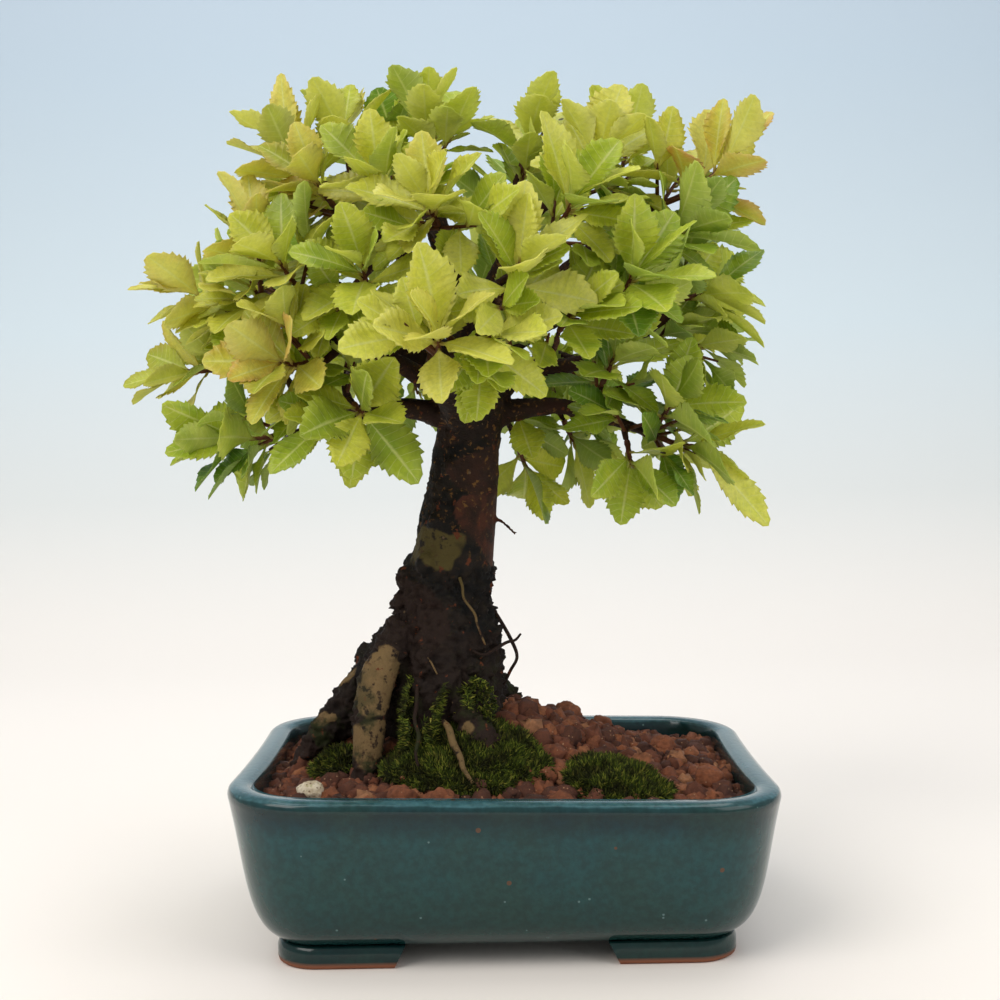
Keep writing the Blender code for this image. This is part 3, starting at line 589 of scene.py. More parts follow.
# %% Trunk, roots, limbs and shoots, in mm from the middle of the pot's underside
TRUNK = ((-24, -6, 46, 17), (-23, -5, 62, 20), (-20, -4, 78, 21.5), (-19, -3, 95, 19.6),
         (-18.5, -2, 113, 16.4), (-15.4, -1, 130, 14.4), (-12.3, 0, 148, 12.8),
         (-10, 0, 166, 11.6), (-7, 0, 184, 10.5),
         (-7, 2, 200, 8.8), (-10, 5, 215, 7), (-15, 8, 232, 5.4), (-20, 8, 250, 3.8), (-21, 6, 262, 2.6))
ROOTS = (
    ((-28, -4, 104, 8), (-40, -6, 90, 9), (-52, -8, 77, 7.5),
     (-62, -8, 67, 5.8), (-69, -9, 57, 4), (-72, -10, 48, 2.6)),
    ((-33, -14, 106, 5), (-41, -22, 90, 6), (-44, -27, 76, 5.6), (-45, -30, 64, 5), (-47, -34, 50, 3.4)),
    ((-14, -15, 86, 7), (-9, -25, 73, 5.6), (-1, -33, 62, 4.2), (6, -40, 50, 3)),
    ((-8, -4, 78, 8), (1, -4, 68, 6.2), (12, -6, 58, 4.2), (26, -9, 48, 3)),
    ((-12, 8, 88, 8), (0, 21, 73, 6.2), (8, 31, 60, 4.2), (15, 38, 48, 3)),
    ((-27, 8, 90, 8), (-38, 20, 75, 6.6), (-48, 30, 61, 4.6), (-55, 36, 50, 3)),
)
STUBS = (
    ((-8, -2, 144, 1.1), (1, -3, 141, 0.8), (7, -5, 136, 0.7)),
    ((-8, -2, 158, 3.4), (1.2, -3, 157, 2.0)),
)
LIMBS = (
    ("front",
     ((-9, -2, 176, 8), (-14, -20, 186, 6.4), (-17, -42, 193, 5), (-17, -60, 196, 3.6))),
    ("right_low",
     ((-4, 0, 176, 5.1), (8, 6, 180, 3.9), (24, 8, 181, 3), (38, 4, 177, 2.3), (52, -2, 172, 1.7))),
    ("right_mid",
     ((-4, 2, 182, 5.5), (10, 12, 193, 3.9), (32, 16, 197, 2.8), (50, 10, 205, 2.2), (63, 3, 212, 1.6))),
    ("right_high",
     ((-4, 4, 188, 5.5), (10, 10, 212, 4.1), (30, 8, 232, 3), (48, 3, 245, 2), (57, 0, 250, 1.6))),
    ("left_low",
     ((-12, -2, 176, 5.1), (-30, -10, 181, 3.7), (-48, -15, 179, 3), (-66, -14, 174, 2))),
    ("left_mid",
     ((-8, 0, 188, 5.5), (-30, -2, 200, 3.9), (-54, -6, 208, 2.8), (-76, -9, 212, 1.9))),
    ("left_high",
     ((-11, 5, 216, 4.2), (-32, 4, 236, 3.1), (-48, 2, 246, 2.2), (-58, 2, 251, 1.6))),
    ("top_right", ((-8, 3, 206, 4.7), (4, 8, 232, 3.3), (16, 6, 250, 2.3), (28, 2, 256, 1.6))),
    ("back", ((-7, 4, 190, 5.5), (-8, 28, 208, 3.9), (-8, 48, 221, 2.7), (-7, 60, 226, 1.6))),
    ("back_left",
     ((-10, 5, 196, 4.7), (-32, 26, 212, 3.3), (-50, 42, 224, 2.2), (-60, 40, 230, 1.6))),
    ("back_right",
     ((-5, 5, 196, 4.7), (16, 26, 210, 3.3), (36, 40, 220, 2.2), (48, 42, 224, 1.6))),
    ("front_up",
     ((-9, 0, 205, 4.4), (-6, -20, 218, 3.3), (-2, -36, 220, 2.3), (2, -46, 216, 1.6))),
    ("left_front",
     ((-12, -4, 182, 4.4), (-32, -22, 196, 3.1), (-50, -28, 202, 2.2), (-58, -30, 206, 1.6))),
    ("crown_front",
     ((-12, 6, 222, 3.7), (-16, -12, 236, 2.8), (-18, -28, 240, 1.9), (-17, -36, 240, 1.6))),
)
# shoot: name, base, tip, leaves, leaf length
SHOOTS = (
    ("upper_left", (-61, 0, 254), (-71, -4, 272), 9, 23),
    ("top_left", (-50, 8, 262), (-52, 10, 284), 9, 24),
    ("top_left_back", (-38, 20, 268), (-36, 25, 286), 8, 27),
    ("crown", (-22, 4, 268), (-22, 2, 284), 9, 23),
    ("crown_right", (11, 8, 266), (15, 8, 282), 9, 24),
    ("high_right", (34, -6, 256), (38, -12, 268), 9, 25),
    ("high_right_back", (46, 10, 261), (50, 12, 276), 8, 22),
    ("sprig", (60, 0, 251), (86, -6, 267), 9, 25),
    ("right_upper", (57, -8, 236), (66, -13, 240), 8, 26),
    ("right_edge", (67, 2, 218), (78, 1, 221), 8, 24),
    ("right_edge_low", (66, 8, 202), (79, 9, 203), 8, 22),
    ("front_high", (4, -50, 214), (9, -58, 225), 9, 24),
    ("front_crown", (-17, -40, 240), (-20, -48, 246), 9, 24),
    ("front_crown_left", (-32, -24, 248), (-37, -31, 256), 9, 24),
    ("left_high_front", (-54, -12, 251), (-59, -20, 259), 8, 22),
    ("left_upright", (-79, -16, 219), (-79, -22, 241), 8, 24),
    ("left_edge", (-87, -9, 214), (-104, -11, 223), 9, 22),
    ("left_edge_low", (-95, 2, 197), (-110, 1, 196), 8, 22),
    ("left_low", (-73, -12, 173), (-92, -15, 172), 9, 25),
    ("left_front", (-61, -34, 196), (-69, -44, 196), 9, 24),
    ("front_low", (-46, -36, 182), (-42, -48, 179), 9, 25),
    ("left_inner", (-50, -20, 194), (-48, -24, 208), 8, 23),
    ("front", (-17, -63, 197), (-16, -72, 202), 9, 25),
    ("front_right", (-8, -56, 199), (0, -66, 202), 7, 24),
    ("hanging", (8, 22, 168), (12, 24, 158), 6, 24),
    ("right_inner_low", (26, 28, 176), (31, 30, 166), 8, 22),
    ("right_inner", (38, -6, 188), (42, -12, 198), 8, 26),
    ("right_low_up", (57, -8, 174), (62, -12, 182), 8, 27),
    ("right_low", (59, 0, 169), (72, -2, 166), 8, 25),
    ("right_low_front", (46, -12, 168), (47, -17, 160), 7, 22),
    ("mid_right_front", (22, -40, 205), (26, -50, 211), 9, 24),
    ("right_front", (42, -38, 216), (46, -48, 223), 9, 25),
    ("high_front_right", (23, -38, 240), (27, -47, 247), 9, 25),
    ("left_mid_front", (-64, -32, 221), (-69, -41, 229), 9, 24),
    ("mid_left_front", (-40, -40, 218), (-41, -50, 226), 9, 24),
    ("back_mid", (-6, 62, 227), (-5, 78, 236), 9, 25),
    ("back_left_out", (-62, 44, 231), (-74, 56, 238), 9, 24),
    ("back_right_out", (50, 46, 225), (62, 60, 232), 9, 24),
    ("back_crown", (8, 34, 256), (12, 46, 268), 9, 24),
    ("back_crown_left", (-40, 40, 252), (-46, 52, 264), 9, 24),
    ("back_low_right", (26, 58, 202), (34, 74, 200), 9, 24),
    ("back_low_left", (-42, 58, 200), (-52, 74, 200), 9, 24),
    ("back_left_edge", (-84, 22, 226), (-98, 30, 230), 8, 23),
    ("back_right_edge", (68, 28, 214), (80, 38, 216), 8, 23),
)
# chosen leaves: shoot, place along it, tip in mm, width, the way the upper face looks
FEATURES = (
    ("left_low", 0.75, (-113, -20, 168), 17, (-0.1, -0.8, 0.6)),
    ("right_low", 1.00, (97, -6, 138), 12, (0.2, -0.9, 0.4)),
    ("right_low_up", 0.60, (69, -14, 197), 15, (0.3, -0.9, 0.1)),
    ("hanging", 1.00, (19, 24, 139), 11, (0.3, -0.9, 0.3)),
    ("front_high", 0.80, (11, -62, 250), 14, (-0.1, -0.95, 0.3)),
    ("crown_right", 1.00, (24, 6, 297), 12, (0.2, -0.9, 0.2)),
    ("front_low", 0.70, (-46, -52, 158), 17, (0, -0.9, 0.4)),
    ("top_left_back", 0.90, (-41, 21, 299), 15, (-0.1, -0.9, 0.3)),
    ("sprig", 0.70, (81, -6, 287), 9, (-0.6, -0.7, 0.3)),
    ("sprig", 1.00, (94, -8, 281), 9, (-0.5, -0.8, 0.1)),
    ("left_edge", 1.00, (-126, -12, 225), 11, (-0.2, -0.5, 0.8)),
    ("left_edge_low", 1.00, (-132, 0, 192), 12, (-0.2, -0.6, 0.7)),
    ("upper_left", 0.90, (-73, -4, 299), 9, (-0.3, -0.9, 0.2)),
    ("right_edge_low", 0.95, (88, 6, 206), 13, (0.1, -0.7, 0.6)),
)


# %% Branch rules
def limb_path(spec):
    return [at(*p[:3]) for p in spec], [p[3] * MM for p in spec]


LEAF_THICK = 0.0006
TWIG_RADIUS = 0.0009
WOOD_ROOM = 0.0004          # space kept between a leaf and any wood
HEART = at(-10, 0, 205)     # the point the crown grows away from


def tube_shape(points, radii, sides, grow=0.0):
    """Corners and faces of a closed tube whose rings keep a steady twist."""
    verts, faces = [], []
    side = Vector((0, 0, 1)).cross(points[1] - points[0])
    side = side.normalized() if side.length > 1e-6 else Vector((1, 0, 0))
    last = len(points) - 1
    for i, p in enumerate(points):
        along = (points[min(i + 1, last)] - points[max(i - 1, 0)]).normalized()
        side = (side - along * side.dot(along)).normalized()
        other = along.cross(side)
        for k in range(sides):
            turn = 2 * math.pi * k / sides
            verts.append(p + (side * math.cos(turn) + other * math.sin(turn)) * (radii[i] + grow))
    for i in range(last):
        for k in range(sides):
            a, b = i * sides + k, i * sides + (k + 1) % sides
            faces.append((a, b, b + sides, a + sides))
    faces.append(tuple(range(sides)))
    faces.append(tuple(last * sides + k for k in range(sides)))
    return verts, faces


def feeder_path(base, tip, limbs):
    """A side branch that leaves the nearest limb low down and ends at the shoot's base."""
    best = None
    for points, radii in limbs:
        for i in range(len(points) - 1):
            for k in range(6):
                t = k / 6
                p = points[i].lerp(points[i + 1], t)
                fall = p.z - base.z
                cost = (p - base).length + max(0.0, fall) * 1.5
                if best is None or cost < best[0]:
                    best = (cost, p, radii[i] * (1 - t) + radii[i + 1] * t)
    start, thick = best[1], best[2]
    along = (tip - base).normalized()
    reach = (base - start).length
    bend = base - along * reach * 0.4
    return [start, bend, base], [min(thick * 0.8, 0.0020), 0.0014, 0.0011]


def twig_points(shoot):
    base, tip = SHOOT_PATHS[shoot]
    along = (tip - base).normalized()
    start = base + along * (GAP + 0.00005)
    sag = Vector((0, 0, -0.06 * (tip - base).length))
    return [start, start.lerp(tip, 0.5) + sag, tip]


def point_on(points, t):
    spot = t * (len(points) - 1)
    i = min(int(spot), len(points) - 2)
    return points[i].lerp(points[i + 1], spot - i)


def leaf_solid(base, tip, width, face, fold, bend, start=-0.02):
    """A thin folded blade: a stalk end, the widest place, a point, and a sunk midrib."""
    along = tip - base
    length = along.length
    along.normalize()
    normal = (face - along * face.dot(along)).normalized()
    side = along.cross(normal)

    def spot(across, up_leaf, lift):
        drop = bend * length * up_leaf * up_leaf
        return base + along * (up_leaf * length) + side * across + normal * (lift - drop)

    half = width / 2
    rim = [spot(-0.0005, start, 0), spot(-half, 0.62, fold), spot(0, 1.0, 0), spot(half, 0.62, fold),
           spot(0.0005, start, 0)]
    top = rim + [spot(0, 0.60, 0)]
    under = [p - normal * LEAF_THICK for p in top]
    count = len(rim)
    faces = [(i, (i + 1) % count, count) for i in range(count)]
    faces += [((i + 1) % count + count + 1, i + count + 1, 2 * count + 1) for i in range(count)]
    for i in range(count):
        j = (i + 1) % count
        faces.append((j, i, i + count + 1, j + count + 1))
    return top + under, faces


def between(low, place, high):
    return all(a < value < b for a, value, b in zip(low, place, high))


def tree_of(verts, faces):
    return BVHTree.FromPolygons([tuple(v) for v in verts], faces)


def leaf_plan():
    """Every leaf as (shoot, base, tip, width, face, fold, bend), clear of wood and other shoots."""
    woody = []
    for points, radii in [TRUNK_PATH] + list(LIMB_PATHS.values()):
        woody.append((None, tree_of(*tube_shape(points, radii, 8, WOOD_ROOM))))
    for points, radii in FEEDERS.values():
        woody.append((None, tree_of(*tube_shape(points, radii, 5, WOOD_ROOM))))
    twigs = []
    for shoot, *_ in SHOOTS:
        points = twig_points(shoot)
        twigs.append((shoot, tree_of(*tube_shape(points, [TWIG_RADIUS] * 3, 5, WOOD_ROOM))))
    plan = []
    placed = []
    outer = []

    def clear(leaf):
        shoot = leaf[0]
        tree = tree_of(*leaf_solid(*leaf[1:]))
        for owner, other in woody + twigs + placed:
            if owner != shoot and tree.overlap(other):
                return None
        free = tree_of(*leaf_solid(*leaf[1:], 0.30))
        if any(owner == shoot and free.overlap(other) for owner, other in outer):
            return None
        outer.append((shoot, free))
        return tree

    def keep(leaf):
        tree = clear(leaf)
        if tree:
            plan.append(leaf)
            placed.append((leaf[0], tree))
        return bool(tree)

    for shoot, t, end, width, face in FEATURES:
        tip = at(*end)
        for attempt in range(8):
            base = point_on(twig_points(shoot), max(0.3, t - 0.07 * attempt))
            shift = Vector((0, -0.001 * attempt, 0.0005 * attempt))
            if keep((shoot, base, tip + shift, width * MM, Vector(face), 0.0012, 0.06)):
                break
    lowest, highest = at(-134, -97, 139), at(99, 97, 300)
    for shoot, near, far, count, size in SHOOTS:
        chance = random.Random("%s %d" % (shoot, SEED))
        points = twig_points(shoot)
        axis = (points[2] - points[0]).normalized()
        ring = axis.orthogonal().normalized()
        out = (points[2] - HEART).normalized()
        done = sum(1 for f in FEATURES if f[0] == shoot)
        turn = chance.uniform(0, 360)
        for i in range(count - done):
            share = (i + 0.5) / (count - done)
            for attempt in range(14):
                spin = math.radians(turn + GOLDEN_TURN * i + attempt * 23)
                spread = math.radians(82 - 58 * share + chance.uniform(-9, 9))
                radial = Matrix.Rotation(spin, 3, axis) @ ring
                way = axis * math.cos(spread) + radial * math.sin(spread)
                way = (way + out * 0.18 + Vector((0, 0, 0.10 - 0.16 * (1 - share)))).normalized()
                long = size * MM * (0.80 + 0.36 * math.sin(math.pi * (0.15 + 0.75 * share)))
                long *= chance.uniform(0.86, 1.10) * (1 - 0.022 * attempt)
                face = axis * 0.7 + out * 0.35 + Vector((0, -0.12, 0.55))
                face += Vector([chance.uniform(-0.42, 0.42) for _ in range(3)])
                base = point_on(points, 0.30 + 0.70 * share)
                wide = long * chance.uniform(0.50, 0.60)
                fold = wide * chance.uniform(0.06, 0.16)
                tip = base + way * long
                leaf = (shoot, base, tip, wide, face, fold, chance.uniform(0.03, 0.14))
                if between(lowest, tip, highest) and keep(leaf):
                    break
    return plan, keep


# %% Plan every leaf
LIMB_PATHS = {name: limb_path(spec) for name, spec in LIMBS}
TRUNK_PATH = limb_path(TRUNK)
SHOOT_PATHS = {}
FEEDERS = {}
for shoot, low, high, *_ in SHOOTS:
    base, tip = at(*low), at(*high)
    SHOOT_PATHS[shoot] = (base, tip)
    branches = list(LIMB_PATHS.values()) + [(TRUNK_PATH[0][8:], TRUNK_PATH[1][8:])]
    FEEDERS[shoot] = feeder_path(base, tip, branches)
plan, keep_leaf = leaf_plan()
print("leaves planned", len(plan))

# %% Side twigs that fill the crown
SIDE_TWIGS, SIDE_LEAVES = 3, 5
SIDE_LOW, SIDE_HIGH = (-0.133, -0.090, 0.140), (0.097, 0.090, 0.296)


def side_twigs(shoot):
    """Short twigs off a shoot's branch, each with a few leaves; the crown's inner fill."""
    chance = random.Random("side %s %d" % (shoot, SEED))
    path = FEEDERS[shoot][0]
    made = []
    for k in range(SIDE_TWIGS):
        start = point_on(path, chance.uniform(0.35, 0.95))
        out = (start - HEART).normalized()
        way = out * 0.7 + Vector([chance.uniform(-0.9, 0.9) for _ in range(3)])
        way += Vector((0, -0.15, 0.25))
        way.normalize()
        twig = [start, start + way * chance.uniform(0.009, 0.020)]
        ring = way.orthogonal().normalized()
        turn = chance.uniform(0, 360)
        leaves = []
        for i in range(SIDE_LEAVES):
            share = (i + 0.5) / SIDE_LEAVES
            for attempt in range(10):
                radial = Matrix.Rotation(math.radians(turn + GOLDEN_TURN * i + 31 * attempt), 3, way) @ ring
                spread = math.radians(80 - 62 * share + chance.uniform(-8, 8))
                aim = way * math.cos(spread) + radial * math.sin(spread) + out * 0.2 + Vector((0, 0, 0.05))
                aim.normalize()
                long = chance.uniform(0.018, 0.026) * (1 - 0.03 * attempt)
                base = point_on(twig, 0.35 + 0.65 * share)
                wide = long * chance.uniform(0.50, 0.60)
                face = way * 0.6 + out * 0.35
                face += Vector([chance.uniform(-0.4, 0.4), chance.uniform(-0.5, 0.2), 0.55])
                tip = base + aim * long
                owner = "%s side %d" % (shoot, k)
                leaf = (owner, base, tip, wide, face, wide * 0.1, chance.uniform(0.03, 0.12))
                if between(SIDE_LOW, tip, SIDE_HIGH) and keep_leaf(leaf):
                    leaves.append(leaf)
                    break
        made.append((twig, leaves))
    return made


SIDES = {shoot: side_twigs(shoot) for shoot, *_ in SHOOTS}
print("side leaves", sum(len(leaves) for made in SIDES.values() for twig, leaves in made))

# %% [markdown]
# ## The wood
# Roots, trunk and branches grew as one, so they are made as one skin: a closed tube along each
# line, fused by a voxel remesh, which also rounds every fork the way living wood does. The skin is
# then pushed in and out by noise that runs along the grain, deeper where the wood is thicker. Two
# values are kept on each point for the bark's finish: how thick the wood is there, and how much
# bare, rubbed bark shows.

# %% Fuse the tubes
WOOD_VOXEL = 0.00087
STEPS = 5


def fine_tube(points, radii, sides, steps=STEPS):
    path = smooth(points, steps)
    thick = [v.x for v in smooth([Vector((r, 0, 0)) for r in radii], steps)]
    return tube_shape(path, thick, sides), path, thick


def gather(shapes):
    verts, faces = [], []
    for some_verts, some_faces in shapes:
        first = len(verts)
        verts += some_verts
        faces += [tuple(i + first for i in f) for f in some_faces]
    return verts, faces


BURRS = (
    (-32, -6, 121, 4.0), (-34, -8, 113, 3.6), (-25, -15, 127, 3.2), (-4, -10, 100, 5.0), (-24, -20, 92,
                                                                                          5.4),
    (-38, -16, 98, 4.5), (-8, -17, 84, 5.5), (-30, 4, 125, 4.0), (-21, -11, 141, 3.2), (-2, -6, 152, 3.0),
    (-16, -11, 160, 3.0), (-4, 4, 170, 4.0), (-52, -12, 83, 4.4), (-46, -2, 92, 5.0),
)


def make_wood():
    shapes, marks = [], []
    jobs = [(TRUNK_PATH, 28)] + [(limb_path(spec), 18) for spec in ROOTS]
    jobs += [(limb_path(spec), 10) for spec in STUBS]
    jobs += [(path, 14) for path in LIMB_PATHS.values()] + [(path, 8) for path in FEEDERS.values()]
    for (points, radii), sides in jobs:
        shape, path, thick = fine_tube(points, radii, sides)
        shapes.append(shape)
        marks += list(zip(path, thick))
    for x, y, z, r in BURRS:
        centre = at(x, y, z)
        path = [centre + Vector((0, 0, r * MM * k)) for k in (-1.0, -0.5, 0.0, 0.6, 1.1)]
        shapes.append(tube_shape(path, [r * MM * k for k in (0.45, 0.85, 1.0, 0.8, 0.35)], 12))
    wood = mesh_object("wood", *gather(shapes))
    remesh = wood.modifiers.new("fuse", "REMESH")
    remesh.mode = "VOXEL"
    remesh.voxel_size = WOOD_VOXEL
    relax = wood.modifiers.new("relax", "SMOOTH")
    relax.factor, relax.iterations = 0.5, 3
    baked(wood)
    return wood, marks


wood, wood_marks = make_wood()
print("wood points", len(wood.data.vertices))

# %% Push the bark in and out
bark_lines = KDTree(len(wood_marks))
for i, (p, r) in enumerate(wood_marks):
    bark_lines.insert(p, i)
bark_lines.balance()
# rubbed places where pale bark shows: middle and reach in mm
BARE_PLACES = (
    (-40, -24, 92, 8), (-42, -28, 84, 9), (-45, -33, 69, 8), (-20, -14, 132, 8), (-27, -8, 133, 8),
    (-54, -12, 89, 6), (-62, -14, 74, 4), (-14, -33, 70, 5), (-25, -20, 121, 3.2), (-24, -23, 107, 2.4),
)


def bare_share(p):
    """How bare the bark is at a point, with wandering borders."""
    wander = noise.noise_vector(p * 190) * 0.0042
    spot = p + wander
    return max(0.0, max(1 - (spot - at(x, y, z)).length / (reach * MM) for x, y, z, reach in BARE_PLACES))


def bark_height(p, r, smoothness):
    """Swell along the grain, sharp ridges, and on the lower wood chunks of crust."""
    lumps = noise.noise(Vector((p.x * 150, p.y * 150, p.z * 60)))
    ridges = 1 - 2 * abs(noise.noise(Vector((p.x * 420, p.y * 420, p.z * 160)) + Vector((7, 3, 1))))
    crust = 1.0 if p.z < 0.124 else 0.30
    rough = crust * (1 - smoothness) * min(1.0, r / 0.006)
    near, cells = noise.voronoi(p * 430 + noise.noise_vector(p * 260) * 0.9)
    edge = min(1.0, (near[1] - near[0]) * 3.2)
    chunk = noise.cell(cells[0] * 7.3) * edge
    grit = noise.noise(p * 1300)
    swell = min(r, 0.016) * (0.075 * lumps + 0.030 * ridges * (0.4 + 0.6 * rough))
    return swell + 0.0020 * chunk * rough + 0.00050 * grit * rough


def finish_wood():
    mesh = wood.data
    normals = [v.normal.copy() for v in mesh.vertices]
    girth, bare = [], []
    for v, n in zip(mesh.vertices, normals):
        spot, index, far = bark_lines.find(v.co)
        r = wood_marks[index][1]
        girth.append(min(1.0, r / 0.012))
        bare.append(bare_share(v.co))
        v.co += n * bark_height(v.co, r, min(1.0, bare[-1] * 5))
    for name, values in (("girth", girth), ("bare", bare)):
        keep_values(mesh, name, values)
    shade_smooth(mesh)
    mesh.update()


finish_wood()
print("bark done, faces", len(wood.data.polygons))

# %% Air roots and bark finish
AIR_ROOTS = (
    ((-3, -5, 111, 0.8), (0, -6, 107, 0.7), (4.5, -8, 99, 0.7), (6.5, -9, 93, 0.6), (4, -9, 88, 0.6),
     (1, -8, 82, 0.7)),
    ((-9, -20, 97, 0.5), (-5, -19.4, 95.5, 0.55), (-1, -16, 97, 0.6), (3, -11, 98.5, 0.6), (6, -9, 99, 0.5),
     (8, -8, 101, 0.4)),
    ((-13, -16, 122, 0.6), (-12, -17.5, 119, 0.5), (-11.5, -19, 115, 0.45), (-8, -20, 110, 0.45),
     (-7, -20.5, 106, 0.4), (-4.5, -20, 99, 0.35)),
    ((-19, -31, 75, 0.8), (-17, -34, 73, 1.2), (-15.5, -38, 69, 1.3), (-13, -43, 65, 1.1),
     (-12, -46, 62, 0.9), (-9, -49, 58, 0.7)),
    ((-28, -24, 86, 0.7), (-28, -29, 80, 0.8), (-28.5, -33, 76, 0.7), (-27, -36, 71, 0.8),
     (-28, -39, 66, 0.6), (-27, -42, 62, 0.5)),
    ((-26, -21, 98, 0.35), (-25, -22.5, 96.5, 0.3), (-24, -24, 95, 0.3), (-23, -24.5, 94, 0.3),
     (-22, -25, 92, 0.3), (-21, -25, 90, 0.25)),
)
AIR_BARE = (0.0, 0.0, 0.5, 0.5, 0.0, 0.5)


def make_bark():
    made, nodes, links, shader = new_material("rough_dark_bark")
    place = object_place(nodes)
    girth = fact(nodes, "girth")
    bare = fact(nodes, "bare")
    split = nodes.new("ShaderNodeSeparateXYZ")
    links.new(place, split.inputs[0])
    cloud = pattern(nodes, links, BLOTCHES, place, Size=160.0, Grit=7.0, Low=0.36, High=0.66)
    base = mixer(nodes, links, cloud, srgb(9, 8, 7), srgb(32, 24, 17))
    thin = ramp(nodes, ((0.0, srgb(84, 44, 28)), (0.16, srgb(56, 31, 21)), (0.45, srgb(38, 23, 16)), (1.0,
            srgb(26, 18, 13))))
    links.new(girth, thin.inputs["Fac"])
    slim = ranged(nodes, links, girth, From_Min=0.25, From_Max=0.9)
    young = mixer(nodes, links, cloud, thin.outputs["Color"], srgb(38, 24, 17))
    colour = mixer(nodes, links, slim, young, base)
    high = ranged(nodes, links, split.outputs["Z"], From_Min=0.118, From_Max=0.150)
    fleck = pattern(nodes, links, BLOTCHES, place, Size=520.0, Grit=7.0, Low=0.57, High=0.66)
    warm = reckon(nodes, links, "MULTIPLY", fleck, high)
    colour = mixer(nodes, links, warm, colour, srgb(104, 72, 32))
    patch = pattern(nodes, links, BLOTCHES, place, Size=260.0, Grit=7.0, Low=0.36, High=0.46)
    rub = reckon(nodes, links, "MULTIPLY", ranged(nodes, links, bare, From_Min=0.04, From_Max=0.16), patch)
    olive = ranged(nodes, links, split.outputs["Z"], From_Min=0.105, From_Max=0.125)
    tan = mixer(nodes, links, olive, srgb(112, 90, 58), srgb(76, 66, 32))
    scars = pattern(nodes, links, BLOTCHES, place, Size=200.0, Grit=5.0, Low=0.56, High=0.70)
    tan = mixer(nodes, links, scars, tan, srgb(66, 40, 24))
    colour = mixer(nodes, links, rub, colour, tan)
    damp = ranged(nodes, links, split.outputs["Z"], From_Min=0.100, From_Max=0.070)
    green = pattern(nodes, links, BLOTCHES, place, Size=90.0, Grit=8.0, Low=0.50, High=0.62)
    film = reckon(nodes, links, "MULTIPLY", damp, green)
    colour = mixer(nodes, links, film, colour, srgb(36, 40, 14))
    crust = pattern(nodes, links, SPECKS, place, Size=420.0, Dot=0.20, Share=0.05)
    colour = mixer(nodes, links, crust, colour, srgb(92, 74, 54))
    rust = pattern(nodes, links, BLOTCHES, place, Size=210.0, Grit=6.0, Low=0.63, High=0.67)
    colour = mixer(nodes, links, rust, colour, srgb(92, 46, 24))
    links.new(colour, shader.inputs["Base Color"])
    shader.inputs["Roughness"].default_value = 0.74
    shader.inputs["Specular IOR Level"].default_value = 0.22
    relief = node(nodes, "ShaderNodeTexNoise", Scale=900.0, Detail=8.0, Roughness=0.65)
    links.new(place, relief.inputs["Vector"])
    bump_from(nodes, links, shader, relief.outputs["Fac"], 0.8, 0.0007)
    return made


def add_air_roots():
    shapes = []
    for spec in AIR_ROOTS:
        shapes.append(fine_tube(*limb_path(spec), 7, 6)[0])
    roots = mesh_object("air_roots", *gather(shapes))
    each = len(roots.data.vertices) // len(AIR_ROOTS)
    bare = [share for share in AIR_BARE for k in range(each)]
    for name, values in (("girth", [0.4] * len(bare)), ("bare", bare)):
        keep_values(roots.data, name, values)
    return roots


def join(target, others):
    for obj in bpy.context.selected_objects:
        obj.select_set(False)
    for obj in [target] + others:
        obj.select_set(True)
    bpy.context.view_layer.objects.active = target
    bpy.ops.object.join()
    return target


wood = join(wood, [add_air_roots()])
wood.name = "living_wood"
place_home(wood)
wood.data.materials.clear()
wood.data.materials.append(make_bark())
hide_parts("trunk")
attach(wood, "root")
print("wood faces", len(wood.data.polygons))

# %% [markdown]
# ## Leaves
# Each leaf is a thin closed blade with a stalk: rows of points along a folded, drooping midrib,
# widest past the middle, with forward-pointing teeth on the margin and the skin puckered between
# the side veins. Young leaves are yellow green with a warm blush, older ones deeper green, and the
# underside is paler. Those facts are kept on the points, so that one material serves them all.

# %% Make one leaf
TEETH = 10
TOOTH_STOPS = (0.0, 0.80)
COLUMNS = np.array((-1.0, -0.52, 0.0, 0.52, 1.0))
LEAF_SKIN = 0.00028


def leaf_rows():
    """Places along the leaf, with how far each tooth sticks out there."""
    rows = [(0.0, 0.0), (0.035, 0.0), (0.075, 0.0)]
    for k in range(TEETH):
        for stop in TOOTH_STOPS:
            rows.append((0.11 + 0.85 * (k + stop) / TEETH, stop * (1.0 if k % 2 else 0.72)))
    return np.array(rows + [(0.975, 0.2), (1.0, 0.0)])


ROWS = leaf_rows()


